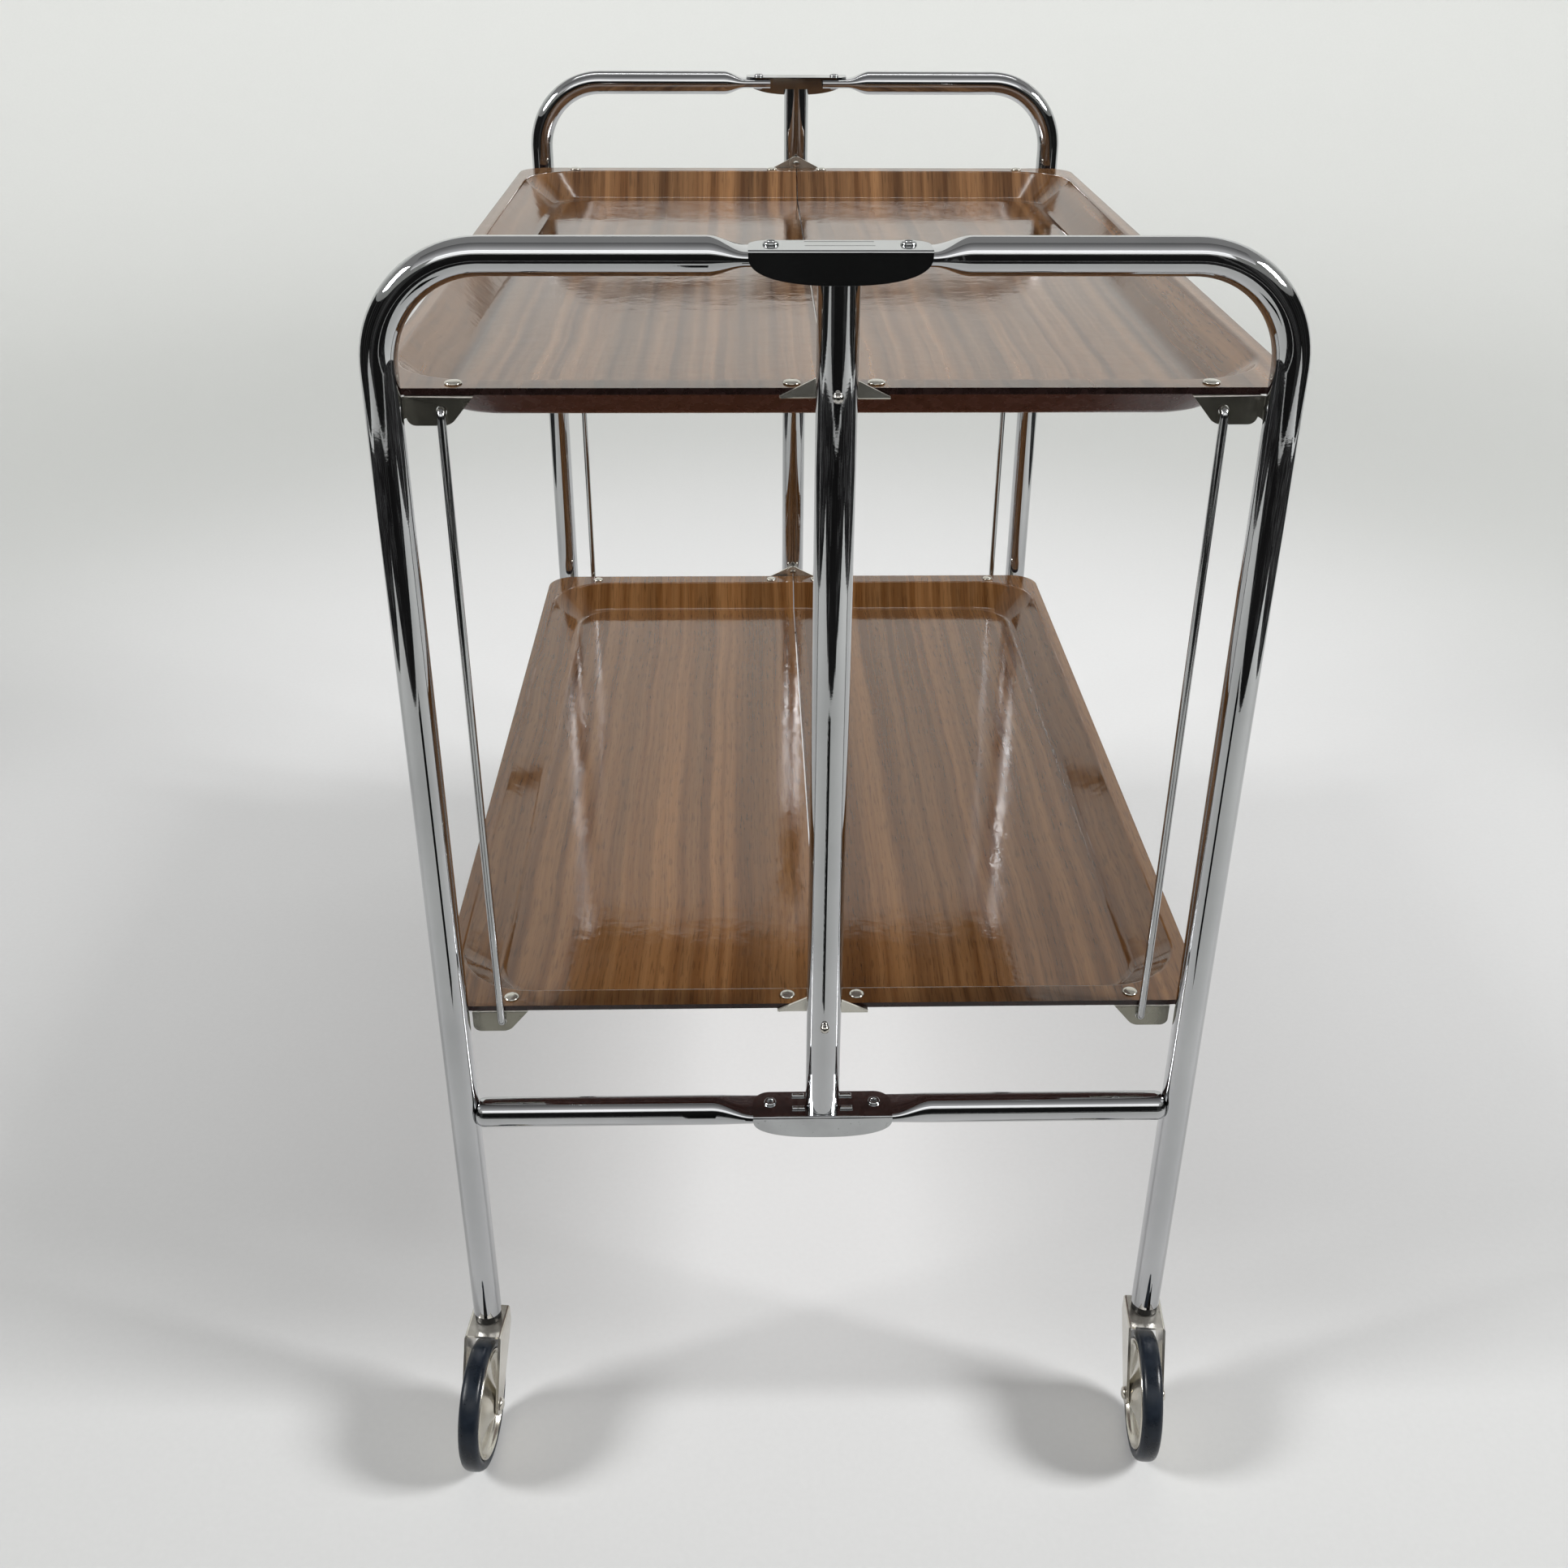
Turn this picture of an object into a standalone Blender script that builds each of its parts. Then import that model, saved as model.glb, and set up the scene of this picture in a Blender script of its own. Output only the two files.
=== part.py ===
"""Folding serving trolley: two split trays on gate-leg tube frames with four swivel casters.

Axes: X across the trolley, Y along it (front end at -Y), Z up, floor at Z = 0, metres.
Each tray is split along its length. The halves turn up about pins in the centre posts.
Upper and lower halves of one side are tied by two rods and turn together.
The rear end is the front end turned half a turn about Z, and so is every left tray half.
"""
import math

import bmesh
import bpy
from mathutils import Matrix, Vector

# Overall frame
LEG_SPACING = 0.384
FRAME_SPACING = 0.630
HANDLE_HEIGHT = 0.6775
CROSSBAR_DROP = 0.0605
LEG_SPLAY = 0.0008
TUBE_DIAMETER = 0.016
TUBE_WALL = 0.0012
BEND_RADIUS = 0.046

# Gaps between pieces
FIT_GAP = 0.0003
SWING_GAP = 0.0006
CUT_OVERRUN = 0.002

# Squashed tube ends and their hinge rivets
RIVET_SPACING = 0.056
SQUASH_START = 0.026
SQUASH_LENGTH = 0.016
TUBE_TIP = 0.0085
FLAT_THICKNESS = 0.006
FLAT_WIDTH = 0.020
HINGE_SHANK_RADIUS = 0.0018
HINGE_HEAD_RADIUS = 0.0034
HINGE_HEAD_HEIGHT = 0.0019
HINGE_TAIL_RADIUS = 0.0028
HINGE_TAIL_HEIGHT = 0.001

# Crossbar weld end and tube end slot
WELD_TAPER = 0.0055
WELD_OVERLAP = 0.0022
WELD_END_DIAMETER = 0.0105
SLOT_LENGTH = 0.0215
SLOT_WIDTH = 0.0022

# Centre posts
POST_DIAMETER = 0.018
POST_WALL = 0.0012

# Hinge brackets
BRACKET_LENGTH = 0.0745
BRACKET_SHEET = 0.0012
BRACKET_CORNER = 0.009
OUTER_FLANGE_DEPTH = 0.014
INNER_FLANGE_LENGTH = 0.0356
INNER_FLANGE_DEPTH = 0.008
INNER_FLANGE_CORNER = 0.005
RIB_LENGTH = 0.0056
RIB_ROWS = (0.0068, -0.0035)
RIB_WIDTH = 0.0022
RIB_HEIGHT = 0.0011

# Trays
TRAY_OVERHANG = 0.0135
TRAY_END_GAP = 0.0138
UPPER_RIM_DROP = 0.058
TRAY_SPACING = 0.3295
SPLIT_GAP = 0.0008
TRAY_THICKNESS = 0.003
RIM_END_WIDTH = 0.014
RIM_SIDE_WIDTH = 0.0075
RECESS_DEPTH = 0.0175
WALL_RUN_END = 0.017
WALL_RUN_SIDE = 0.0195
OUTER_CORNER = 0.020
RIM_CORNER = 0.042
FLOOR_CORNER = 0.030
UNDERSIDE_SHIFT = 0.0012

# Tray pivot pins
PIN_RISE = 0.0028
PIN_RADIUS = 0.0019
PIN_BALL_RADIUS = 0.0027
PIN_INNER_HEAD_HEIGHT = 0.0009
SPACER_RADIUS = 0.0038

# Sheet brackets under the trays
SHEET = 0.0012
LOBE_RADIUS = 0.0052
CENTRE_BRACKET_LENGTH = 0.024
CENTRE_FLANGE_START = 0.008
FLANGE_DEPTH = 0.012
PLATE_INSET = 0.001
CORNER_PLATE_LENGTH = 0.030
CORNER_PLATE_DEPTH = 0.0135
CORNER_CHAMFER = 0.0105
CORNER_ROUND = 0.004
ROD_INSET = 0.0352
ROD_DROP = 0.010
ROD_FROM_PLATE_END = 0.0155
WING_LENGTH = 0.0067
WING_SPREAD = 0.0054
WING_DEPTH = 0.0156

# Rivets through the tray rims
TRAY_RIVET_INSET = 0.0075
INNER_RIVET_OFFSET = 0.0185
OUTER_RIVET_INSET = 0.0400
TRAY_SHANK_RADIUS = 0.0016
TRAY_HEAD_RADIUS = 0.0039
TRAY_HEAD_HEIGHT = 0.0012
TRAY_TAIL_RADIUS = 0.0027
TRAY_TAIL_HEIGHT = 0.0008

# Tie rods
ROD_DIAMETER = 0.004
ROD_BEND = 0.0028
ROD_HOOK = 0.004

# Stop studs on the legs
STUD_RADIUS = 0.0016
STUD_INSET = 0.0048
STUD_REACH = 0.0009
STUD_DROP = 0.0075

# Casters
WHEEL_RADIUS = 0.0375
CASTER_TRAIL = 0.030
WHEEL_CLEARANCE = 0.0023
TYRE_WIDTH = 0.0115
TYRE_THICKNESS = 0.0065
TYRE_TREAD_WIDTH = 0.0032
TYRE_SHOULDER = 0.0018
TYRE_SHOULDER_WIDTH = 0.0092
TYRE_BEAD_WIDTH = 0.0098
SLEEVE_FLANGE = 0.0035
SLEEVE_FLANGE_RADIUS = 0.0073
SLEEVE_LENGTH = 0.030
SLEEVE_BORE_RADIUS = 0.0043
FORK_WIDTH = 0.0212
FORK_SHEET = 0.0015
FORK_FRONT = 0.0155
FORK_BACK = 0.009
FORK_SHOULDER = 0.011
FORK_EYE_RADIUS = 0.0065
STEM_RADIUS = 0.004
STEM_LENGTH = 0.027
STEM_CHAMFER = 0.001
BOSS_RADIUS = 0.0063
BOSS_HEIGHT = 0.002
AXLE_RADIUS = 0.002
AXLE_HEAD_RADIUS = 0.0038
AXLE_HEAD_HEIGHT = 0.0018
HUB_RADIUS = 0.0046
HUB_RIM_RADIUS = 0.0082
HUB_FILLET = 0.0012
DISC_RIM_WIDTH = 0.0085
DISC_SHEET = 0.0012
DISC_DISH = 0.0025
HUB_SIDE_GAP = 0.0005
TOE_ANGLE = math.radians(-5)

# Facets
TUBE_SIDES = 12
POST_SIDES = 16
BEND_STEPS = 6
RIVET_SIDES = 8
PIN_SIDES = 10
ROD_SIDES = 8
WHEEL_SIDES = 20
CORNER_STEPS = 4
LOBE_STEPS = 6
DOME_STEPS = 3
BALL_STEPS = 4
LOW_DOME_SHARE = 0.6
TAPER_SHARES = (0.0, 0.3, 0.65, 1.0)
ROD_BEND_STEPS = 3
MOON_STEPS = 8
SHARP_ANGLE = math.radians(35)

# Places worked out from the sizes above
LEG_X = LEG_SPACING / 2
FOOT_X = LEG_X + LEG_SPLAY
FRAME_Y = FRAME_SPACING / 2
TUBE_RADIUS = TUBE_DIAMETER / 2
POST_RADIUS = POST_DIAMETER / 2
RIVET_X = RIVET_SPACING / 2
TRAY_END = FRAME_Y - TRAY_END_GAP
TRAY_SIDE = LEG_X + TRAY_OVERHANG
ROD_OFFSET = TRAY_SIDE - ROD_INSET
OUTER_RIVET_OFFSET = TRAY_SIDE - OUTER_RIVET_INSET
ROD_Y = TRAY_END + FIT_GAP + ROD_DIAMETER / 2
BRACKET_INNER = ROD_Y + ROD_DIAMETER / 2 + SWING_GAP
POST_Y = BRACKET_INNER + BRACKET_SHEET + FIT_GAP + POST_RADIUS
BRACKET_OUTER = POST_Y + POST_RADIUS + FIT_GAP + BRACKET_SHEET
BRACKET_RISE = FLAT_THICKNESS / 2 + FIT_GAP
UPPER_RIM = HANDLE_HEIGHT - UPPER_RIM_DROP
LOWER_RIM = UPPER_RIM - TRAY_SPACING
CROSSBAR_HEIGHT = LOWER_RIM - CROSSBAR_DROP
PLATE_FACE = TRAY_END - PLATE_INSET
INNER_LAYER = TRAY_END + FIT_GAP
OUTER_LAYER = INNER_LAYER + SHEET + FIT_GAP
FLANGE_TOP = -PIN_RISE - TRAY_THICKNESS - FIT_GAP
AXLE_HEIGHT = WHEEL_RADIUS * math.cos(math.pi / WHEEL_SIDES)
WHEEL_BELOW_FORK = math.sqrt(WHEEL_RADIUS ** 2 - (CASTER_TRAIL - FORK_FRONT) ** 2)
FORK_TOP = AXLE_HEIGHT + WHEEL_BELOW_FORK + WHEEL_CLEARANCE + FORK_SHEET
SLEEVE_TOP = FORK_TOP + BOSS_HEIGHT + FIT_GAP + SLEEVE_FLANGE
LEG_BOTTOM = SLEEVE_TOP + FIT_GAP

FRONT_TO_REAR = (("front", -1, 0.0, ("right", "left")), ("rear", 1, math.pi, ("left", "right")))


def clear_scene():
    for item in list(bpy.data.objects):
        bpy.data.objects.remove(item)


def material(name, colour, roughness, metallic):
    made = bpy.data.materials.new(name)
    made.use_nodes = True
    shader = made.node_tree.nodes["Principled BSDF"]
    shader.inputs["Base Color"].default_value = (*colour, 1.0)
    shader.inputs["Roughness"].default_value = roughness
    shader.inputs["Metallic"].default_value = metallic
    return made


def place(name, mesh, look, location=(0.0, 0.0, 0.0), turn=0.0, parent=None):
    """Put a mesh into the scene as one named piece, turned about Z."""
    mesh.materials.clear()
    mesh.materials.append(look)
    mesh.shade_smooth()
    mesh.set_sharp_from_angle(angle=SHARP_ANGLE)
    piece = bpy.data.objects.new(name, mesh)
    bpy.context.scene.collection.objects.link(piece)
    piece.location = location
    piece.rotation_euler = (0.0, 0.0, turn)
    piece.parent = parent
    return piece


def pivot(name, location, turn=0.0, parent=None):
    """An empty on a joint's axis, which the pieces of a moving body hang on."""
    empty = bpy.data.objects.new(name, None)
    bpy.context.scene.collection.objects.link(empty)
    empty.location = location
    empty.rotation_euler = (0.0, 0.0, turn)
    empty.parent = parent
    return empty


def finished(shape):
    """Turn a bmesh into a mesh with its faces pointing out."""
    bmesh.ops.recalc_face_normals(shape, faces=shape.faces)
    mesh = bpy.data.meshes.new("shape")
    shape.to_mesh(mesh)
    shape.free()
    return mesh


def moved(mesh, matrix):
    """A copy of a mesh, moved by a matrix, with its faces still pointing out."""
    copy = mesh.copy()
    copy.transform(matrix)
    if matrix.determinant() < 0:
        copy.flip_normals()
    return copy


def mirrored_x(mesh):
    return moved(mesh, Matrix.Diagonal((-1.0, 1.0, 1.0, 1.0)))


def mirrored_y(mesh):
    return moved(mesh, Matrix.Diagonal((1.0, -1.0, 1.0, 1.0)))


def combined(first, second, operation):
    """Boolean of two closed meshes with the exact solver."""
    base = bpy.data.objects.new("base", first)
    tool = bpy.data.objects.new("tool", second)
    scene_objects = bpy.context.scene.collection.objects
    scene_objects.link(base)
    scene_objects.link(tool)
    change = base.modifiers.new("combine", "BOOLEAN")
    change.operation = operation
    change.solver = "EXACT"
    change.object = tool
    graph = bpy.context.evaluated_depsgraph_get()
    result = bpy.data.meshes.new_from_object(base.evaluated_get(graph))
    bpy.data.objects.remove(base)
    bpy.data.objects.remove(tool)
    return result


def fused(*meshes):
    result = meshes[0]
    for mesh in meshes[1:]:
        result = combined(result, mesh, "UNION")
    return result


def cut(mesh, *tools):
    for tool in tools:
        mesh = combined(mesh, tool, "DIFFERENCE")
    return mesh


def skin(shape, rings, closed=False):
    """Bridge rings of vertices in order; a ring of one vertex is a pole."""
    pairs = list(zip(rings, rings[1:]))
    if closed:
        pairs.append((rings[-1], rings[0]))
    for low, high in pairs:
        count = max(len(low), len(high))
        for step in range(count):
            after = (step + 1) % count
            if len(low) == 1:
                shape.faces.new((low[0], high[after], high[step]))
            elif len(high) == 1:
                shape.faces.new((low[step], low[after], high[0]))
            else:
                shape.faces.new((low[step], low[after], high[after], high[step]))


def turned(profile, sides, closed=False, phase=0.0):
    """Solid of revolution about Z from (radius, height) points."""
    shape = bmesh.new()
    rings = []
    for radius, height in profile:
        count = sides if radius > 0 else 1
        ring = []
        for step in range(count):
            angle = phase + 2 * math.pi * step / sides
            place_at = Vector((radius * math.cos(angle), radius * math.sin(angle), height))
            ring.append(shape.verts.new(place_at))
        rings.append(ring)
    skin(shape, rings, closed)
    return finished(shape)


def rod_shape(radius, start, end, sides):
    """Plain round bar along Z."""
    return turned([(0.0, start), (radius, start), (radius, end), (0.0, end)], sides)


def along_y(mesh, x=0.0, y=0.0, z=0.0):
    """Lay a shape made about Z along Y, its +Z end towards the outside, -Y."""
    return moved(mesh, Matrix.Translation((x, y, z)) @ Matrix.Rotation(math.pi / 2, 4, "X"))


def prism(outline, low, high):
    """Extrude an outline of (x, y) points from z = low to z = high."""
    shape = bmesh.new()
    bottom = [shape.verts.new((x, y, low)) for x, y in outline]
    top = [shape.verts.new((x, y, high)) for x, y in outline]
    skin(shape, [bottom, top])
    shape.faces.new(bottom)
    shape.faces.new(top)
    return finished(shape)


def upright(outline, near, far):
    """Extrude an outline of (x, z) points along Y, from y = -far to y = -near."""
    turn = Matrix.Rotation(math.pi / 2, 4, "X")
    return moved(prism(outline, near, far), turn)


def block(x_range, y_range, z_range):
    x0, x1 = x_range
    y0, y1 = y_range
    return prism([(x0, y0), (x1, y0), (x1, y1), (x0, y1)], *z_range)


def arc(centre, radius, start, end, steps):
    """Points on an arc, angles in radians."""
    points = []
    for step in range(steps + 1):
        angle = start + (end - start) * step / steps
        points.append((centre[0] + radius * math.cos(angle), centre[1] + radius * math.sin(angle)))
    return points


def tube_ring(shape, centre, out, width, height):
    """One section of a tube: width lies along Y, height along the direction out."""
    ring = []
    half_flat = (width - height) / 2
    for step in range(TUBE_SIDES):
        angle = 2 * math.pi * (step + 0.5) / TUBE_SIDES
        side = math.copysign(half_flat, math.cos(angle)) + height / 2 * math.cos(angle)
        rise = height / 2 * math.sin(angle)
        ring.append(shape.verts.new(centre + Vector((0.0, side, 0.0)) + out * rise))
    return ring


def hollow_tube(stations, wall):
    """Tube through stations of (centre, out direction, width, height), open at both ends."""
    shape = bmesh.new()
    outer = [tube_ring(shape, *station) for station in stations]
    inner = []
    for centre, out, width, height in stations:
        inner.append(tube_ring(shape, centre, out, width - 2 * wall, height - 2 * wall))
    skin(shape, outer + inner[::-1], closed=True)
    return finished(shape)


def squashed_stations(height):
    """The handle or crossbar end, from full round to flat, ending past its rivet."""
    up = Vector((0.0, 0.0, 1.0))
    start = RIVET_X + SQUASH_START
    stations = []
    for share in TAPER_SHARES:
        blend = share * share * (3 - 2 * share)
        width = TUBE_DIAMETER + (FLAT_WIDTH - TUBE_DIAMETER) * blend
        thick = TUBE_DIAMETER + (FLAT_THICKNESS - TUBE_DIAMETER) * blend
        stations.append((Vector((start - SQUASH_LENGTH * share, 0.0, height)), up, width, thick))
    tip = Vector((RIVET_X - TUBE_TIP, 0.0, height))
    stations.append((tip, up, FLAT_WIDTH, FLAT_THICKNESS))
    return stations


def rivet_hole(height):
    reach = FLAT_THICKNESS / 2 + CUT_OVERRUN
    hole = rod_shape(HINGE_SHANK_RADIUS + FIT_GAP, height - reach, height + reach, ROD_SIDES)
    return moved(hole, Matrix.Translation((RIVET_X, 0.0, 0.0)))


def frame_tube():
    """Right half of an end frame in its own plane: leg, bend and half handle in one tube."""
    bend_centre = Vector((LEG_X - BEND_RADIUS, 0.0, HANDLE_HEIGHT - BEND_RADIUS))
    outward = Vector((1.0, 0.0, 0.0))
    stations = [(Vector((FOOT_X, 0.0, LEG_BOTTOM)), outward, TUBE_DIAMETER, TUBE_DIAMETER)]
    for step in range(BEND_STEPS + 1):
        angle = math.pi / 2 * step / BEND_STEPS
        out = Vector((math.cos(angle), 0.0, math.sin(angle)))
        stations.append((bend_centre + out * BEND_RADIUS, out, TUBE_DIAMETER, TUBE_DIAMETER))
    stations.extend(squashed_stations(HANDLE_HEIGHT))
    tube = hollow_tube(stations, TUBE_WALL)
    slot_top = LEG_BOTTOM + SLOT_LENGTH
    slot_foot = LEG_BOTTOM - CUT_OVERRUN
    slot = [(FOOT_X - SLOT_WIDTH / 2, slot_foot), (FOOT_X + SLOT_WIDTH / 2, slot_foot), (FOOT_X, slot_top)]
    wedge = upright(slot, TUBE_RADIUS / 2, TUBE_RADIUS + CUT_OVERRUN)
    return cut(tube, rivet_hole(HANDLE_HEIGHT), wedge)


def crossbar():
    """Right half crossbar: rounded down where it is welded to the leg, squashed at its hinge."""
    up = Vector((0.0, 0.0, 1.0))
    weld_end = LEG_X - TUBE_RADIUS + WELD_OVERLAP
    stations = []
    for share in TAPER_SHARES:
        fall = 1 - math.sqrt(1 - (1 - share) ** 2)
        size = TUBE_DIAMETER - (TUBE_DIAMETER - WELD_END_DIAMETER) * fall
        centre = Vector((weld_end - WELD_TAPER * share, 0.0, CROSSBAR_HEIGHT))
        stations.append((centre, up, size, size))
    stations.extend(squashed_stations(CROSSBAR_HEIGHT))
    return cut(hollow_tube(stations, TUBE_WALL), rivet_hole(CROSSBAR_HEIGHT))


def stop_stud():
    """Stud on the back of the leg, beside the wing of the upper tray's corner bracket."""
    stud = rod_shape(STUD_RADIUS, -TUBE_RADIUS - STUD_REACH, -TUBE_RADIUS / 2, RIVET_SIDES)
    return along_y(stud, x=LEG_X - STUD_INSET, z=UPPER_RIM - STUD_DROP)


def half_frame():
    """Right half of an end frame in its own plane, with its welded crossbar and its stud."""
    return fused(frame_tube(), crossbar(), stop_stud())


def centre_post():
    """Front post: a tube between the two hinge brackets, drilled for the tray pins."""
    bottom = CROSSBAR_HEIGHT + BRACKET_RISE + BRACKET_SHEET + FIT_GAP
    top = HANDLE_HEIGHT + BRACKET_RISE - FIT_GAP
    inside = POST_RADIUS - POST_WALL
    profile = [(POST_RADIUS, bottom), (POST_RADIUS, top), (inside, top), (inside, bottom)]
    tube = turned(profile, POST_SIDES, closed=True)
    reach = POST_RADIUS + CUT_OVERRUN
    hole = rod_shape(PIN_RADIUS + FIT_GAP, -reach, reach, ROD_SIDES)
    for height in (UPPER_RIM, LOWER_RIM):
        tube = cut(tube, along_y(hole, z=height + PIN_RISE))
    return tube


def hinge_bracket(height, ribbed):
    """Front hinge bracket: top plate, half-moon outer flange, short inner flange, two rivets."""
    low = height + BRACKET_RISE
    high = low + BRACKET_SHEET
    half = BRACKET_LENGTH / 2
    turn = half - BRACKET_CORNER
    corner_y = -BRACKET_INNER - BRACKET_CORNER
    plan = [(-half, -BRACKET_OUTER), (half, -BRACKET_OUTER)]
    plan += arc((turn, corner_y), BRACKET_CORNER, 0.0, math.pi / 2, CORNER_STEPS)
    plan += arc((-turn, corner_y), BRACKET_CORNER, math.pi / 2, math.pi, CORNER_STEPS)
    moon = []
    for step in range(MOON_STEPS + 1):
        angle = math.pi + math.pi * step / MOON_STEPS
        moon.append((half * math.cos(angle), high + OUTER_FLANGE_DEPTH * math.sin(angle)))
    inner_half = INNER_FLANGE_LENGTH / 2
    turn = inner_half - INNER_FLANGE_CORNER
    foot = high - INNER_FLANGE_DEPTH + INNER_FLANGE_CORNER
    tongue = [(inner_half, high), (-inner_half, high)]
    tongue += arc((-turn, foot), INNER_FLANGE_CORNER, math.pi, 1.5 * math.pi, CORNER_STEPS)
    tongue += arc((turn, foot), INNER_FLANGE_CORNER, 1.5 * math.pi, 2 * math.pi, CORNER_STEPS)
    sheet = fused(
        prism(plan, low, high),
        upright(moon, BRACKET_OUTER - BRACKET_SHEET, BRACKET_OUTER),
        upright(tongue, BRACKET_INNER, BRACKET_INNER + BRACKET_SHEET),
    )
    if ribbed:
        start = POST_RADIUS + FIT_GAP
        for offset in RIB_ROWS:
            row = offset - POST_Y
            rows = (row - RIB_WIDTH / 2, row + RIB_WIDTH / 2)
            for side in (-1, 1):
                span = sorted((side * start, side * (start + RIB_LENGTH)))
                rib = block(span, rows, (low + BRACKET_SHEET / 2, high + RIB_HEIGHT))
                sheet = fused(sheet, rib)
    for side in (-1, 1):
        rivet = moved(hinge_rivet(height), Matrix.Translation((side * RIVET_X, -FRAME_Y, 0.0)))
        sheet = fused(sheet, rivet)
    return sheet


def hinge_rivet(height):
    """Upright rivet that holds a squashed tube end under the bracket."""
    face = height + BRACKET_RISE + BRACKET_SHEET
    root = face - BRACKET_SHEET / 2
    tail = height - FLAT_THICKNESS / 2 - FIT_GAP
    profile = [
        (0.0, tail - HINGE_TAIL_HEIGHT),
        (HINGE_TAIL_RADIUS, tail - HINGE_TAIL_HEIGHT * LOW_DOME_SHARE),
        (HINGE_TAIL_RADIUS, tail),
        (HINGE_SHANK_RADIUS, tail),
        (HINGE_SHANK_RADIUS, root),
        (HINGE_HEAD_RADIUS, root),
    ]
    profile += dome(HINGE_HEAD_RADIUS, face, HINGE_HEAD_HEIGHT)
    return turned(profile, RIVET_SIDES)


def dome(radius, base, height):
    """Profile of a rivet's domed head from its rim at the base to its crown."""
    points = []
    for step in range(DOME_STEPS):
        angle = math.pi / 2 * step / DOME_STEPS
        points.append((radius * math.cos(angle), base + height * math.sin(angle)))
    points.append((0.0, base + height))
    return points


def pivot_pin():
    """Front pin of one tray about its axis: ball head outside, spacer, low head inside."""
    outside = POST_Y + POST_RADIUS + FIT_GAP
    inside = INNER_LAYER - FIT_GAP
    spacer_start = OUTER_LAYER + SHEET + FIT_GAP
    spacer_end = POST_Y - POST_RADIUS - FIT_GAP
    seat = -math.acos(PIN_RADIUS / PIN_BALL_RADIUS)
    crown = math.radians(90)
    centre = outside - PIN_BALL_RADIUS * math.sin(seat)
    ball = arc((0.0, centre), PIN_BALL_RADIUS, seat, crown, BALL_STEPS)
    ball[-1] = (0.0, centre + PIN_BALL_RADIUS)
    head = PIN_RISE - FIT_GAP
    profile = [
        (0.0, inside - PIN_INNER_HEAD_HEIGHT),
        (head * LOW_DOME_SHARE, inside - PIN_INNER_HEAD_HEIGHT),
        (head, inside),
        (PIN_RADIUS, inside),
        (PIN_RADIUS, spacer_start),
        (SPACER_RADIUS, spacer_start),
        (SPACER_RADIUS, spacer_end),
        (PIN_RADIUS, spacer_end),
    ]
    return along_y(turned(profile + ball, PIN_SIDES))


def tray_path(end, side, corner):
    """Half outline of a tray from the split at the front round to the split at the rear."""
    start = SPLIT_GAP / 2
    points = [(start, -end)]
    points += arc((side - corner, -end + corner), corner, -math.pi / 2, 0.0, CORNER_STEPS)
    points += arc((side - corner, end - corner), corner, 0.0, math.pi / 2, CORNER_STEPS)
    points.append((start, end))
    return points


def tray_half():
    """Right half of a tray about its pivot: flat rim, sloping wall, floor, open at the split."""
    rim_end = TRAY_END - RIM_END_WIDTH
    rim_side = TRAY_SIDE - RIM_SIDE_WIDTH
    floor_end = rim_end - WALL_RUN_END
    floor_side = rim_side - WALL_RUN_SIDE
    rim_top = -PIN_RISE
    floor_top = rim_top - RECESS_DEPTH
    edge = tray_path(TRAY_END, TRAY_SIDE, OUTER_CORNER)
    rim = tray_path(rim_end, rim_side, RIM_CORNER)
    floor = tray_path(floor_end, floor_side, FLOOR_CORNER)
    shift = UNDERSIDE_SHIFT
    under_rim = tray_path(rim_end + shift, rim_side + shift, RIM_CORNER + shift)
    under_floor = tray_path(floor_end + shift, floor_side + shift, FLOOR_CORNER + shift)
    shape = bmesh.new()

    def row(path, height):
        return [shape.verts.new((x, y, height)) for x, y in path]

    rows = [
        row(floor, floor_top),
        row(rim, rim_top),
        row(edge, rim_top),
        row(edge, rim_top - TRAY_THICKNESS),
        row(under_rim, rim_top - TRAY_THICKNESS),
        row(under_floor, floor_top - TRAY_THICKNESS),
    ]
    for low, high in zip(rows, rows[1:]):
        for step in range(len(low) - 1):
            shape.faces.new((low[step], low[step + 1], high[step + 1], high[step]))
    shape.faces.new(rows[0])
    shape.faces.new(rows[-1])
    shape.faces.new((rows[1][0], rows[2][0], rows[3][0], rows[4][0]))
    shape.faces.new((rows[1][-1], rows[2][-1], rows[3][-1], rows[4][-1]))
    shape.faces.new((rows[0][0], rows[1][0], rows[4][0], rows[5][0]))
    shape.faces.new((rows[0][-1], rows[1][-1], rows[4][-1], rows[5][-1]))
    shape.faces.new((rows[0][0], rows[5][0], rows[5][-1], rows[0][-1]))
    tray = finished(shape)
    hole = rod_shape(
        TRAY_SHANK_RADIUS + FIT_GAP, FLANGE_TOP - CUT_OVERRUN, CUT_OVERRUN - PIN_RISE, ROD_SIDES
    )
    rivet_y = TRAY_END - TRAY_RIVET_INSET
    for x in (INNER_RIVET_OFFSET, OUTER_RIVET_OFFSET):
        for y in (-rivet_y, rivet_y):
            tray = cut(tray, moved(hole, Matrix.Translation((x, y, 0.0))))
    return tray


def tray_rivet(x):
    """Rivet from a bracket's flange up through the front rim, with a low domed head."""
    head = -PIN_RISE + FIT_GAP
    root = FLANGE_TOP - SHEET / 2
    tail = FLANGE_TOP - SHEET - TRAY_TAIL_HEIGHT
    profile = [
        (0.0, tail),
        (TRAY_TAIL_RADIUS, tail),
        (TRAY_TAIL_RADIUS, root),
        (TRAY_SHANK_RADIUS, root),
        (TRAY_SHANK_RADIUS, head),
    ]
    rivet = turned(profile + dome(TRAY_HEAD_RADIUS, head, TRAY_HEAD_HEIGHT), RIVET_SIDES)
    return moved(rivet, Matrix.Translation((x, -TRAY_END + TRAY_RIVET_INSET, 0.0)))


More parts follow.
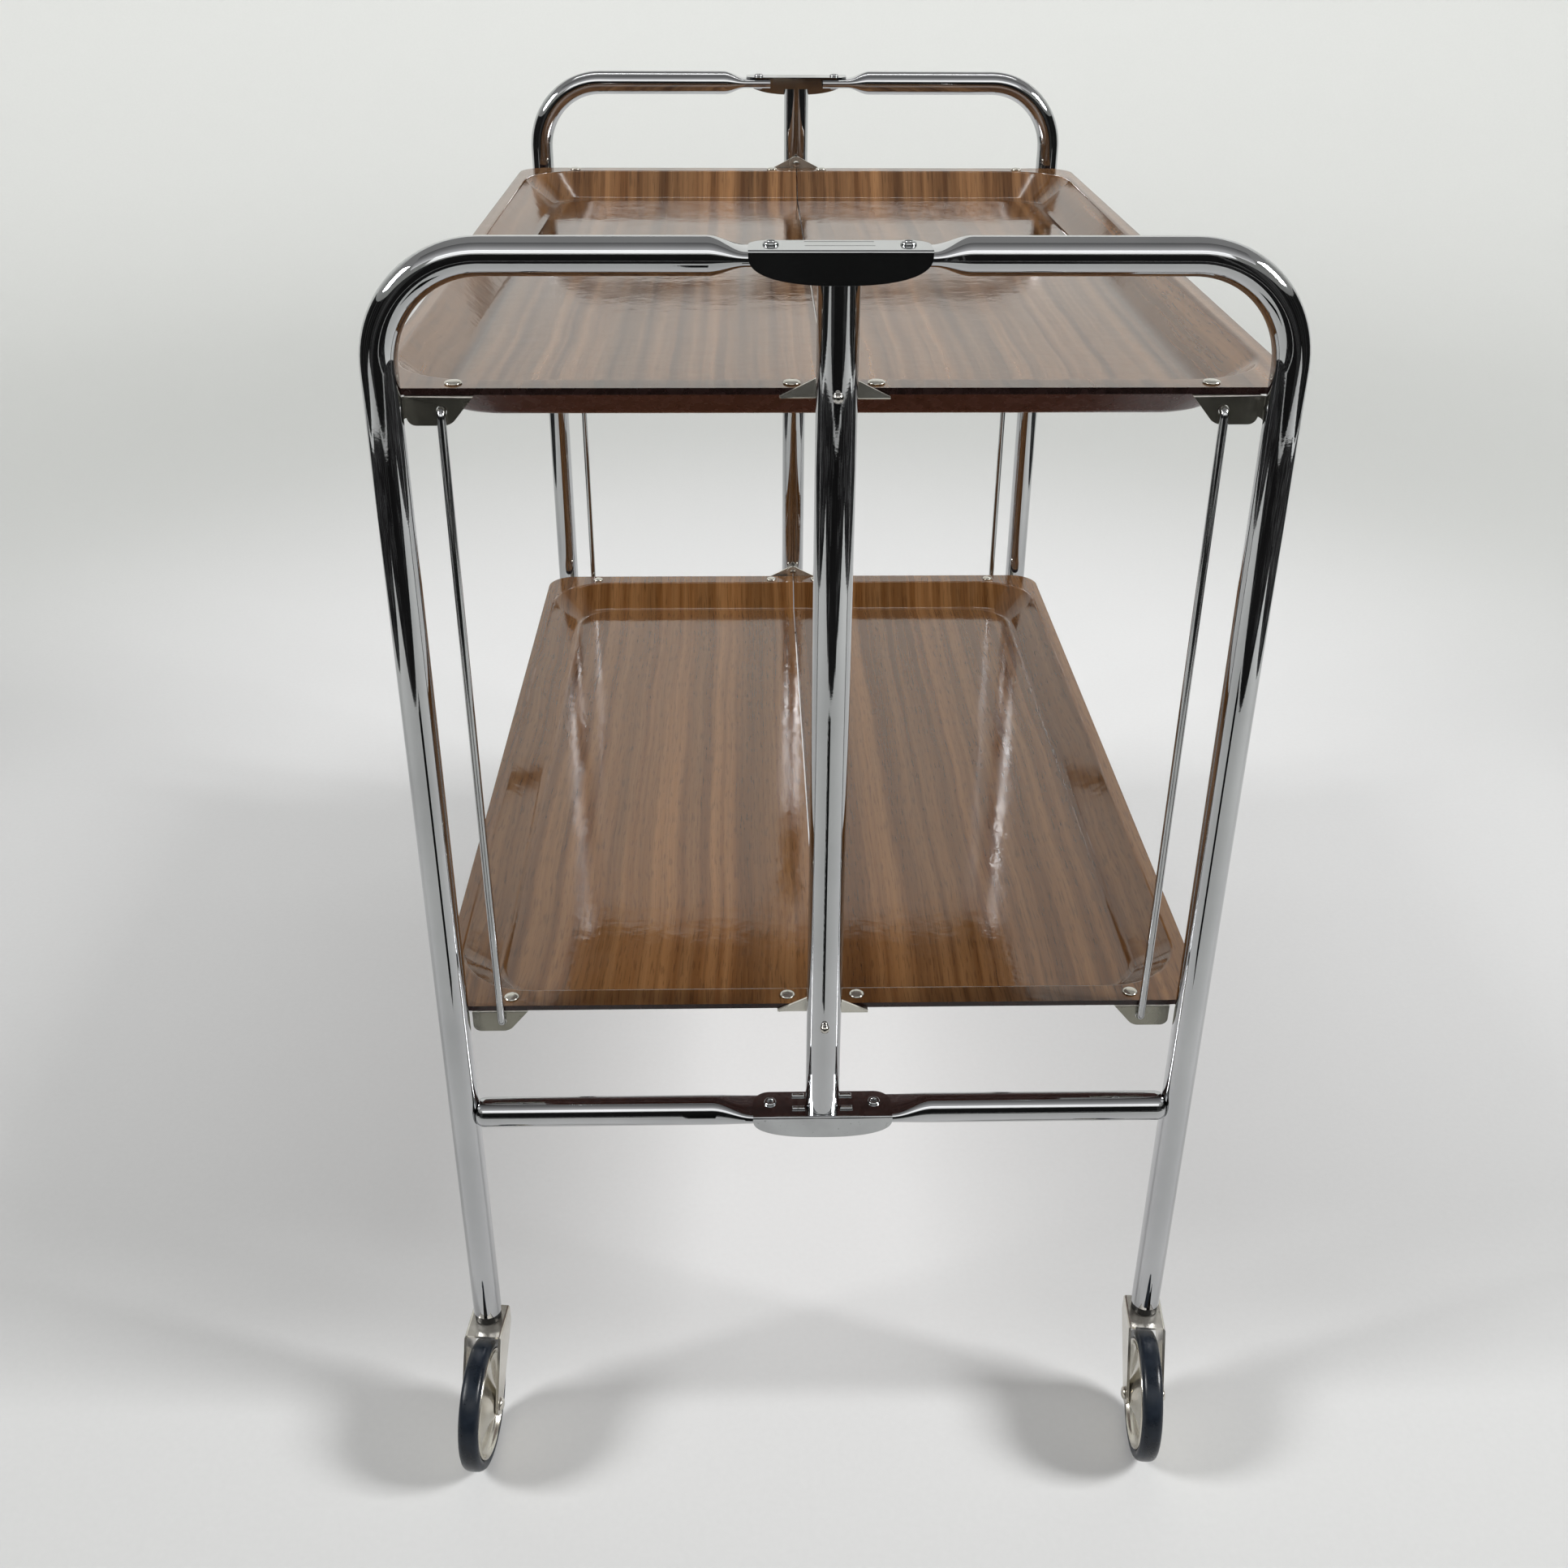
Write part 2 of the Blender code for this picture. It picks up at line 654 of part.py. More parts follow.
def centre_bracket(layer):
    """Front centre bracket of a right half: upright plate with a pin lobe, flange and rivet."""
    reach = CENTRE_BRACKET_LENGTH
    foot = FLANGE_TOP - SHEET
    slope = math.asin(LOBE_RADIUS / math.hypot(reach, FLANGE_TOP)) + math.atan2(-FLANGE_TOP, reach)
    start = math.pi / 2 - slope
    outline = arc((0.0, 0.0), LOBE_RADIUS, start, 1.5 * math.pi, LOBE_STEPS)
    outline += [(0.0, foot), (reach, foot), (reach, FLANGE_TOP)]
    plate = upright(outline, layer, layer + SHEET)
    back = PLATE_FACE - FLANGE_DEPTH
    flange = block((CENTRE_FLANGE_START, reach), (-layer - SHEET / 2, -back), (foot, FLANGE_TOP))
    bracket = fused(plate, flange, tray_rivet(INNER_RIVET_OFFSET))
    hole = rod_shape(PIN_RADIUS + FIT_GAP, layer - CUT_OVERRUN, layer + SHEET + CUT_OVERRUN, ROD_SIDES)
    return cut(bracket, along_y(hole))


def corner_bracket(winged):
    """Front corner bracket of a right half: flange, plate with the rod hole, rivet, stop wing."""
    outer = ROD_OFFSET + ROD_FROM_PLATE_END
    inner = outer - CORNER_PLATE_LENGTH
    foot = -PIN_RISE - TRAY_THICKNESS - CORNER_PLATE_DEPTH
    turn = (outer - CORNER_ROUND, foot + CORNER_ROUND)
    outline = [(inner, FLANGE_TOP), (inner + CORNER_CHAMFER, foot)]
    outline += arc(turn, CORNER_ROUND, -math.pi / 2, 0.0, CORNER_STEPS)
    outline.append((outer, FLANGE_TOP))
    plate = upright(outline, PLATE_FACE - SHEET, PLATE_FACE)
    back = PLATE_FACE - FLANGE_DEPTH
    flange = block((inner + SHEET, outer), (-PLATE_FACE, -back), (FLANGE_TOP - SHEET, FLANGE_TOP))
    bracket = fused(plate, flange, tray_rivet(OUTER_RIVET_OFFSET))
    if winged:
        bracket = fused(bracket, stop_wing(outer, foot + CORNER_ROUND))
    reach = ROD_DIAMETER / 2 + FIT_GAP
    hole = rod_shape(reach, PLATE_FACE - SHEET - CUT_OVERRUN, PLATE_FACE + CUT_OVERRUN, ROD_SIDES)
    return cut(bracket, along_y(hole, x=ROD_OFFSET, z=-PIN_RISE - ROD_DROP))


def stop_wing(outer, root_low):
    """Wing bent forward off the plate's outer end, ending just behind the leg."""
    high = FLANGE_TOP - SHEET / 2
    low = -PIN_RISE - TRAY_THICKNESS - WING_DEPTH
    sections = (
        (outer - SHEET, 0.0, root_low),
        (outer, 0.0, root_low),
        (outer + WING_LENGTH, WING_SPREAD, low),
    )
    shape = bmesh.new()
    rings = []
    for x, spread, bottom in sections:
        front = -PLATE_FACE - spread
        corners = [(front, bottom), (front + SHEET, bottom), (front + SHEET, high), (front, high)]
        rings.append([shape.verts.new((x, y, z)) for y, z in corners])
    skin(shape, rings)
    shape.faces.new(rings[0])
    shape.faces.new(rings[-1])
    return finished(shape)


def tie_rod():
    """Front rod of the right side about its upper hole: straight, both ends bent into the plates."""
    radius = ROD_DIAMETER / 2
    outside = -ROD_Y
    inside = -PLATE_FACE + SHEET + ROD_HOOK
    path = [Vector((0.0, inside, 0.0))]
    upper_centre = Vector((0.0, outside + ROD_BEND, -ROD_BEND))
    lower_centre = Vector((0.0, outside + ROD_BEND, ROD_BEND - TRAY_SPACING))
    for step in range(ROD_BEND_STEPS + 1):
        angle = math.pi / 2 * (1 + step / ROD_BEND_STEPS)
        path.append(upper_centre + Vector((0.0, math.cos(angle), math.sin(angle))) * ROD_BEND)
    for step in range(ROD_BEND_STEPS + 1):
        angle = math.pi + math.pi / 2 * step / ROD_BEND_STEPS
        path.append(lower_centre + Vector((0.0, math.cos(angle), math.sin(angle))) * ROD_BEND)
    path.append(Vector((0.0, inside, -TRAY_SPACING)))
    shape = bmesh.new()
    rings = []
    across = Vector((1.0, 0.0, 0.0))
    for index, point in enumerate(path):
        before = path[max(index - 1, 0)]
        after = path[min(index + 1, len(path) - 1)]
        other = (after - before).normalized().cross(across)
        ring = []
        for step in range(ROD_SIDES):
            angle = 2 * math.pi * (step + 0.5) / ROD_SIDES
            offset = across * math.cos(angle) + other * math.sin(angle)
            ring.append(shape.verts.new(point + offset * radius))
        rings.append(ring)
    skin(shape, rings)
    shape.faces.new(rings[0])
    shape.faces.new(rings[-1])
    return finished(shape)


def caster_sleeve():
    """Plastic sleeve in a leg's end, with a flange that shows under the tube."""
    outer = (TUBE_RADIUS - TUBE_WALL) * math.cos(math.pi / TUBE_SIDES) - FIT_GAP
    low = SLEEVE_TOP - SLEEVE_FLANGE
    top = LEG_BOTTOM + SLEEVE_LENGTH
    profile = [
        (SLEEVE_BORE_RADIUS, low),
        (SLEEVE_FLANGE_RADIUS, low),
        (SLEEVE_FLANGE_RADIUS, SLEEVE_TOP),
        (outer, SLEEVE_TOP),
        (outer, top),
        (SLEEVE_BORE_RADIUS, top),
    ]
    return turned(profile, TUBE_SIDES, closed=True)


def fork():
    """Caster fork about its stem axis, trailing towards -Y: plate, two arms, boss and stem."""
    half = FORK_WIDTH / 2
    low = FORK_TOP - FORK_SHEET
    plate = block((-half, half), (-FORK_FRONT, FORK_BACK), (low, FORK_TOP))
    arm = fork_arm()
    stem_top = LEG_BOTTOM + STEM_LENGTH
    stem = turned(
        [
            (0.0, low + FORK_SHEET / 2),
            (BOSS_RADIUS, low + FORK_SHEET / 2),
            (BOSS_RADIUS, FORK_TOP + BOSS_HEIGHT),
            (STEM_RADIUS, FORK_TOP + BOSS_HEIGHT),
            (STEM_RADIUS, stem_top - STEM_CHAMFER),
            (STEM_RADIUS - STEM_CHAMFER, stem_top),
            (0.0, stem_top),
        ],
        PIN_SIDES,
    )
    left = moved(arm, Matrix.Translation((-half, 0.0, 0.0)))
    right = moved(arm, Matrix.Translation((half - FORK_SHEET, 0.0, 0.0)))
    body = fused(plate, left, right, stem)
    hole = rod_shape(AXLE_RADIUS + FIT_GAP, -half - CUT_OVERRUN, half + CUT_OVERRUN, ROD_SIDES)
    turn = Matrix.Rotation(math.pi / 2, 4, "Y")
    return cut(body, moved(hole, Matrix.Translation((0.0, -CASTER_TRAIL, AXLE_HEIGHT)) @ turn))


def fork_arm():
    """One fork arm as a sheet from x = 0, narrowing from the plate down to the axle eye."""
    eye = (-CASTER_TRAIL, AXLE_HEIGHT)
    top = FORK_TOP
    shoulder = top - FORK_SHOULDER
    back_angle = tangent_angle(eye, (FORK_BACK, shoulder), -1)
    front_angle = tangent_angle(eye, (-FORK_FRONT, shoulder), 1)
    outline = [(-FORK_FRONT, shoulder), (-FORK_FRONT, top), (FORK_BACK, top), (FORK_BACK, shoulder)]
    outline += arc(eye, FORK_EYE_RADIUS, back_angle, front_angle - 2 * math.pi, LOBE_STEPS)
    shape = bmesh.new()
    inner = [shape.verts.new((0.0, y, z)) for y, z in outline]
    outer = [shape.verts.new((FORK_SHEET, y, z)) for y, z in outline]
    skin(shape, [inner, outer])
    shape.faces.new(inner)
    shape.faces.new(outer)
    return finished(shape)


def tangent_angle(centre, point, side):
    """Angle on the axle eye where a line from a shoulder point touches it."""
    away_y = point[0] - centre[0]
    away_z = point[1] - centre[1]
    distance = math.hypot(away_y, away_z)
    return math.atan2(away_z, away_y) + side * math.acos(FORK_EYE_RADIUS / distance)


def lay_across(mesh):
    """Lay a turned piece along X, a flat side of its facets towards the floor."""
    return moved(mesh, Matrix.Rotation(math.pi / 2, 4, "Y"))


def tyre():
    inner = WHEEL_RADIUS - TYRE_THICKNESS
    side = [
        (inner, TYRE_BEAD_WIDTH / 2),
        (inner + TYRE_THICKNESS / 2, TYRE_WIDTH / 2),
        (WHEEL_RADIUS - TYRE_SHOULDER, TYRE_SHOULDER_WIDTH / 2),
        (WHEEL_RADIUS, TYRE_TREAD_WIDTH / 2),
    ]
    profile = [(radius, -height) for radius, height in side] + side[::-1]
    return lay_across(turned(profile, WHEEL_SIDES, closed=True, phase=math.pi / WHEEL_SIDES))


def wheel_disc():
    """Pressed steel wheel: hub tube, dished web on both sides and a flat rim."""
    rim = (WHEEL_RADIUS - TYRE_THICKNESS - FIT_GAP) * math.cos(math.pi / WHEEL_SIDES)
    half = DISC_RIM_WIDTH / 2
    web = half - DISC_DISH
    hub_half = FORK_WIDTH / 2 - FORK_SHEET - HUB_SIDE_GAP
    bore = AXLE_RADIUS + FIT_GAP
    side = [
        (rim, half),
        (rim - DISC_SHEET, half),
        (rim - DISC_SHEET - DISC_DISH, web),
        (HUB_RIM_RADIUS, web),
        (HUB_RADIUS, web + HUB_FILLET),
        (HUB_RADIUS, hub_half),
        (bore, hub_half),
    ]
    profile = side + [(radius, -height) for radius, height in side[::-1]]
    return lay_across(turned(profile, WHEEL_SIDES, closed=True, phase=math.pi / WHEEL_SIDES))


def axle():
    """Axle rivet of a caster, with a domed head outside each fork arm."""
    face = FORK_WIDTH / 2 + FIT_GAP
    side = [(AXLE_RADIUS, face)] + dome(AXLE_HEAD_RADIUS, face, AXLE_HEAD_HEIGHT)
    profile = [(radius, -height) for radius, height in side[::-1]] + side
    return lay_across(turned(profile, RIVET_SIDES))


def build_end_frames(chrome, steel):
    """Half frames, posts, hinge brackets and tray pins of both ends."""
    halves = (half_frame(), mirrored_x(half_frame()))
    post = centre_post()
    brackets = {
        "top": hinge_bracket(HANDLE_HEIGHT, ribbed=False),
        "lower": hinge_bracket(CROSSBAR_HEIGHT, ribbed=True),
    }
    pin = pivot_pin()
    for end, outward, turn, sides in FRONT_TO_REAR:
        for side, half in zip(sides, halves):
            place(f"{end}_{side}_half_frame", half.copy(), chrome, (0.0, outward * FRAME_Y, 0.0), turn)
        place(f"{end}_centre_post", post.copy(), chrome, (0.0, outward * POST_Y, 0.0), turn)
        for level, bracket in brackets.items():
            place(f"{end}_{level}_hinge_bracket", bracket.copy(), chrome, turn=turn)
        for level, rim in (("upper", UPPER_RIM), ("lower", LOWER_RIM)):
            place(f"{end}_{level}_tray_pin", pin.copy(), steel, (0.0, 0.0, rim + PIN_RISE), turn)


def build_trays(laminate, steel, rod_steel):
    """Four tray halves with their brackets, and the rods that tie them in pairs."""
    tray = tray_half()
    centres = (centre_bracket(OUTER_LAYER), mirrored_y(centre_bracket(INNER_LAYER)))
    rods = (tie_rod(), mirrored_y(tie_rod()))
    for level, rim in (("upper", UPPER_RIM), ("lower", LOWER_RIM)):
        front_corner = corner_bracket(winged=level == "upper")
        corners = (front_corner, mirrored_y(front_corner))
        for side, turn, ends in (("right", 0.0, ("front", "rear")), ("left", math.pi, ("rear", "front"))):
            half = f"{level}_{side}"
            hinge = pivot(f"{half}_pivot", (0.0, 0.0, rim + PIN_RISE), turn)
            place(f"{half}_tray", tray.copy(), laminate, parent=hinge)
            for end, corner, centre in zip(ends, corners, centres):
                place(f"{half}_{end}_corner_bracket", corner.copy(), steel, parent=hinge)
                place(f"{half}_{end}_centre_bracket", centre.copy(), steel, parent=hinge)
            if level == "upper":
                eye = pivot(f"{side}_rod_pivot", (ROD_OFFSET, 0.0, -PIN_RISE - ROD_DROP), parent=hinge)
                for end, rod in zip(ends, rods):
                    place(f"{end}_{side}_tie_rod", rod.copy(), rod_steel, parent=eye)


def build_casters(steel, rubber, plastic):
    """Four swivel casters: sleeve in the leg, fork with stem, wheel disc, tyre and axle."""
    sleeve = caster_sleeve()
    wheel_pieces = (
        ("caster_axle", axle(), steel),
        ("wheel_disc", wheel_disc(), steel),
        ("tyre", tyre(), rubber),
    )
    fork_shape = fork()
    for end, outward, turn, sides in FRONT_TO_REAR:
        for side, across in zip(sides, (-outward, outward)):
            corner = f"{end}_{side}"
            foot = (across * FOOT_X, outward * FRAME_Y, 0.0)
            place(f"{corner}_caster_sleeve", sleeve.copy(), plastic, foot)
            swivel = pivot(f"{corner}_swivel", foot, turn + TOE_ANGLE)
            place(f"{corner}_caster_fork", fork_shape.copy(), steel, parent=swivel)
            spin = pivot(f"{corner}_spin", (0.0, -CASTER_TRAIL, AXLE_HEIGHT), parent=swivel)
            for name, mesh, look in wheel_pieces:
                place(f"{corner}_{name}", mesh.copy(), look, parent=spin)


def build():
    clear_scene()
    chrome = material("chromed tube", (0.78, 0.79, 0.80), 0.06, 1.0)
    rod_steel = material("chromed rod", (0.74, 0.75, 0.76), 0.12, 1.0)
    steel = material("nickelled sheet steel", (0.62, 0.60, 0.54), 0.28, 1.0)
    laminate = material("walnut laminate", (0.30, 0.17, 0.08), 0.22, 0.0)
    rubber = material("black rubber", (0.02, 0.022, 0.028), 0.6, 0.0)
    plastic = material("black plastic", (0.015, 0.015, 0.016), 0.4, 0.0)
    build_end_frames(chrome, steel)
    build_trays(laminate, steel, rod_steel)
    build_casters(steel, rubber, plastic)


build()
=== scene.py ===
import math

import bmesh
import bpy
from mathutils import Matrix, Vector


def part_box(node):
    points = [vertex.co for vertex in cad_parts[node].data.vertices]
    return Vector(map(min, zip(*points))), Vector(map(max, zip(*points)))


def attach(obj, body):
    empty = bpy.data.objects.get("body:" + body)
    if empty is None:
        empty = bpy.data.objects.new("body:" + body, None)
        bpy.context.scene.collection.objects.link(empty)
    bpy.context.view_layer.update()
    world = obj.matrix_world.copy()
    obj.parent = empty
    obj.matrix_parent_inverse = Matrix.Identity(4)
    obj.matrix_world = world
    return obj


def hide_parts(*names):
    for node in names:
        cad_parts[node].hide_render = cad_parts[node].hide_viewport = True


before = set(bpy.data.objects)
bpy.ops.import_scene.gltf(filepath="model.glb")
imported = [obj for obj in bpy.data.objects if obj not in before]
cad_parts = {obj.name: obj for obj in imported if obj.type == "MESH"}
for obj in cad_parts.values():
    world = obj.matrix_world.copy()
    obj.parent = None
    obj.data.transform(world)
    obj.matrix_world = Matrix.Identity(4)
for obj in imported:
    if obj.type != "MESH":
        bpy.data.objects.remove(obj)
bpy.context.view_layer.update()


# Half frames, two at each end, the left one the right one's mirror image.
# 16 mm steel tube bent in one length for the leg and half the handle, its end pressed flat
# for the hinge rivet, a short crossbar welded on, then polished and chromed all over.
LEG_X = 0.192
FOOT_X = 0.1928
FRAME_Y = 0.315
HANDLE_Z = 0.6775
CROSSBAR_Z = 0.2295
TUBE_R = 0.008
TUBE_WALL = 0.0012
TUBE_SIDES = 48
BEND_R = 0.046
BEND_STEPS = 24
PRESS_START_X = 0.054
PRESS_LENGTH = 0.016
BAR_PRESS_START_X = 0.0595
BAR_PRESS_LENGTH = 0.0222
PRESSED_TIP_X = 0.0195
PRESSED_WIDTH = 0.020
PRESSED_HEIGHT = 0.006
PRESS_STEPS = 12
NECK_R = 0.00525
NECK_LENGTH = 0.0055
NECK_STEPS = 8
WELD_SINK = 0.0022
WELD_CUT = 0.02
SLIT_WIDTH = 0.0022
SLIT_LENGTH = 0.0205
SLIT_TOP_SHARE = 0.05
SLIT_RING = 0.026
CUT_OVER = 0.002
STUD_X = 0.1872
STUD_Z = 0.612
STUD_R = 0.0016
STUD_ROOT = 0.004
STUD_LENGTH = 0.0044
STUD_ROUND = 0.0006
FOOT_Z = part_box("front_right_half_frame")[0].z
ORIGIN = (0.0, 0.0, 0.0)
UPRIGHT = (0.0, 0.0, 0.0)
FACING_X = (0.0, math.pi / 2, 0.0)
FACING_Y = (math.pi / 2, 0.0, 0.0)
NEAR = 1e-5


def only(*pieces):
    """Select these pieces alone, the first one active."""
    bpy.ops.object.select_all(action="DESELECT")
    for piece in pieces:
        piece.select_set(True)
    bpy.context.view_layer.objects.active = pieces[0]


def keep_place():
    """Put the selected piece's place, turn and size into its mesh."""
    bpy.ops.object.transform_apply(location=True, rotation=True, scale=True)


def draw_ring(name, radius, sides, centre, lean=UPRIGHT, fill="NOTHING"):
    """Start a piece from one ring, its origin at the world's, and open it for editing."""
    bpy.ops.object.select_all(action="DESELECT")
    bpy.ops.mesh.primitive_circle_add(
        vertices=sides, radius=radius, fill_type=fill, location=centre, rotation=lean
    )
    piece = bpy.context.object
    piece.name = name
    keep_place()
    bpy.ops.object.mode_set(mode="EDIT")
    return piece


def draw_disc(*ring):
    """Start a piece from one filled ring."""
    return draw_ring(*ring, fill="NGON")


def draw_out(x=0.0, y=0.0, z=0.0):
    """Extrude what is selected by this much."""
    bpy.ops.mesh.extrude_region_move(TRANSFORM_OT_translate={"value": (x, y, z)})


def resize(scale, centre):
    """Scale what is selected about a point."""
    bpy.ops.transform.resize(value=scale, center_override=centre)


def choose_all():
    bpy.ops.mesh.select_all(action="SELECT")


def chosen_verts(piece, test):
    """Select only the vertices whose place passes the test, with their edges and faces."""
    bpy.ops.mesh.select_all(action="DESELECT")
    shape = bmesh.from_edit_mesh(piece.data)
    for vert in shape.verts:
        vert.select = test(vert.co)
    shape.select_flush(True)
    bmesh.update_edit_mesh(piece.data)


def bend(centre, axis, steps):
    """Spin the last ring a quarter turn round a bend."""
    bpy.ops.mesh.spin(steps=steps, angle=math.pi / 2, center=centre, axis=axis)


def press_ring(piece, ratio, old_spread, spread):
    """Squeeze the last ring, which stands across X, and spread its two halves apart in Y."""
    shape = bmesh.from_edit_mesh(piece.data)
    ring = [vert for vert in shape.verts if vert.select]
    centre = sum((vert.co for vert in ring), Vector()) / len(ring)
    for vert in ring:
        side = vert.co.y - centre.y
        way = 0.0 if abs(side) < NEAR else math.copysign(0.5, side)
        vert.co.y = centre.y + (side - way * old_spread) * ratio + way * spread
        vert.co.z = centre.z + (vert.co.z - centre.z) * ratio
    bmesh.update_edit_mesh(piece.data)


def press_flat(piece, start_x, length):
    """The pressed end of a handle or crossbar, narrowing smoothly, then flat past its rivet."""
    height, spread = 2 * TUBE_R, 0.0
    for step in range(1, PRESS_STEPS + 1):
        share = step / PRESS_STEPS
        blend = share * share * (3 - 2 * share)
        new_height = 2 * TUBE_R + (PRESSED_HEIGHT - 2 * TUBE_R) * blend
        new_spread = 2 * TUBE_R + (PRESSED_WIDTH - 2 * TUBE_R) * blend - new_height
        draw_out(x=-length / PRESS_STEPS)
        press_ring(piece, new_height / height, spread, new_spread)
        height, spread = new_height, new_spread
    draw_out(x=PRESSED_TIP_X - start_x + length)


def apply_change(piece, kind, **settings):
    """Add one modifier with these settings and apply it."""
    only(piece)
    change = piece.modifiers.new(kind.lower(), kind)
    for key, value in settings.items():
        setattr(change, key, value)
    bpy.ops.object.modifier_apply(modifier=change.name)


def close_up(piece, merge=0.0):
    """Leave edit mode with doubles merged and faces pointing out."""
    choose_all()
    if merge:
        bpy.ops.mesh.remove_doubles(threshold=merge)
    bpy.ops.mesh.normals_make_consistent(inside=False)
    bpy.ops.object.mode_set(mode="OBJECT")
    return piece


def reopen(piece):
    only(piece)
    bpy.ops.object.mode_set(mode="EDIT")


def walled(piece):
    """Close a drawn tube and give its skin a wall, inwards."""
    close_up(piece)
    apply_change(piece, "SOLIDIFY", thickness=TUBE_WALL, offset=-1.0)


def combine(piece, part, operation):
    """Add a shape to a piece or take it away from it, and clear the shape off the bench."""
    apply_change(piece, "BOOLEAN", operation=operation, solver="EXACT", object=part)
    bpy.data.objects.remove(part)


def cut_away(piece, tool):
    combine(piece, tool, "DIFFERENCE")


def join_on(piece, part):
    combine(piece, part, "UNION")


def drilled(piece, middle, reach, radius, sides=28):
    """Drill a round hole along one axis; reach is how far it goes to each side of its middle."""
    start = [place - half for place, half in zip(middle, reach)]
    lean = FACING_X if reach[0] else FACING_Y if reach[1] else UPRIGHT
    drill = draw_disc("drill", radius, sides, start, lean)
    draw_out(*(2 * half for half in reach))
    close_up(drill)
    cut_away(piece, drill)


def smooth(piece, degrees=35.0):
    only(piece)
    bpy.ops.object.shade_smooth_by_angle(angle=math.radians(degrees))
    return piece


def block(name, size, centre=ORIGIN):
    """A plain block to shape further or to cut with."""
    bpy.ops.object.select_all(action="DESELECT")
    bpy.ops.mesh.primitive_cube_add(size=1.0, location=centre, scale=size)
    piece = bpy.context.object
    piece.name = name
    keep_place()
    return piece


def copied(piece, name, turned=False, mirrored="", lowered=0.0, across=0.0):
    """A copy with its own mesh: mirrored, moved, then turned half a turn about Z."""
    only(piece)
    bpy.ops.object.duplicate()
    twin = bpy.context.object
    twin.name = name
    if mirrored:
        resize((-1, 1, 1) if mirrored == "x" else (1, -1, 1), ORIGIN)
        keep_place()
        bpy.ops.object.mode_set(mode="EDIT")
        close_up(twin)
    if lowered or across:
        bpy.ops.transform.translate(value=(across, 0.0, -lowered))
        keep_place()
    if turned:
        bpy.ops.transform.rotate(value=math.pi, orient_axis="Z", center_override=ORIGIN)
        keep_place()
    return twin


def around(piece, name):
    """The same corner piece at all four corners: corner name -> piece."""
    corners = {
        "front_right": piece,
        "front_left": copied(piece, f"front_left_{name}", mirrored="x"),
        "rear_left": copied(piece, f"rear_left_{name}", turned=True),
        "rear_right": copied(piece, f"rear_right_{name}", turned=True, mirrored="x"),
    }
    piece.name = f"front_right_{name}"
    return corners


def feed(tree, node, inputs):
    """Give a node's inputs their values: numbers, colours, or other nodes' outputs."""
    for name, value in inputs.items():
        if isinstance(value, bpy.types.NodeSocket):
            tree.links.new(value, node.inputs[name])
        else:
            node.inputs[name].default_value = value


def add_node(tree, kind, inputs=None, **settings):
    """Add a shader node, to the right of those already there."""
    node = tree.nodes.new(f"ShaderNode{kind}")
    node.location.x = 200 * len(tree.nodes)
    for key, value in settings.items():
        setattr(node, key, value)
    feed(tree, node, inputs or {})
    return node


def new_finish(name):
    """An empty node material: returns it, its node tree and its Object coordinates."""
    material = bpy.data.materials.new(name)
    material.use_nodes = True
    tree = material.node_tree
    return material, tree, add_node(tree, "TexCoord").outputs["Object"]


def dressed(material, inputs):
    """The material, with these inputs fed to its own shader."""
    tree = material.node_tree
    feed(tree, tree.nodes["Principled BSDF"], inputs)
    return material


def shade(tone):
    """A whole colour from a grey level, or from its red, green and blue."""
    return (tone, tone, tone, 1.0) if isinstance(tone, float) else (*tone, 1.0)


def noise(tree, place, scale, detail, roughness=0.5):
    settings = {"Vector": place, "Scale": scale, "Detail": detail, "Roughness": roughness}
    return add_node(tree, "TexNoise", settings).outputs["Fac"]


def ramp(tree, source, *stops):
    """Turn a pattern into tones; each stop is a position with a grey level or a colour."""
    node = add_node(tree, "ValToRGB", {"Fac": source})
    while len(node.color_ramp.elements) < len(stops):
        node.color_ramp.elements.new(0.5)
    for element, (position, tone) in zip(node.color_ramp.elements, stops):
        element.position = position
        element.color = shade(tone)
    return node.outputs["Color"]


def mixed(tree, first, second, share=1.0, blend_type="MULTIPLY"):
    inputs = {"Factor": share, "A": first, "B": second}
    return add_node(tree, "Mix", inputs, data_type="RGBA", blend_type=blend_type).outputs["Result"]


def bump(tree, height, strength, distance):
    inputs = {"Height": height, "Strength": strength, "Distance": distance}
    return add_node(tree, "Bump", inputs).outputs["Normal"]


def plated(name, light, dull, gloss, wear_scale, stain=None, stain_from=0.62, metallic=1.0):
    """Polished plating on steel: slow changes of tone, fine scuffs, and stains where given."""
    material, tree, place = new_finish(name)
    cloud = noise(tree, place, wear_scale, 5.0)
    colour = ramp(tree, cloud, (0.35, dull), (0.6, light))
    if stain:
        spots = noise(tree, place, wear_scale * 6, 6.0)
        mask = ramp(tree, spots, (stain_from, 0.0), (stain_from + 0.12, 1.0))
        colour = mixed(tree, colour, shade(stain), mask, "MIX")
    smoothest, roughest = gloss
    return dressed(material, {
        "Base Color": colour,
        "Metallic": metallic,
        "Roughness": ramp(tree, cloud, (0.3, smoothest), (0.75, roughest)),
        "Normal": bump(tree, noise(tree, place, 900.0, 3.0), 0.04, 0.0001),
    })


chrome = plated("tube_chrome", (0.54, 0.545, 0.555), (0.46, 0.465, 0.475), (0.02, 0.055), 9.0)


def finished(piece, material, body, slot, *nodes):
    """Give a piece its finish, hang it on the body it rides on, and hide the CAD nodes that it stands for."""
    piece.data.materials.clear()
    piece.data.materials.append(material)
    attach(piece, body)
    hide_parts(*nodes)


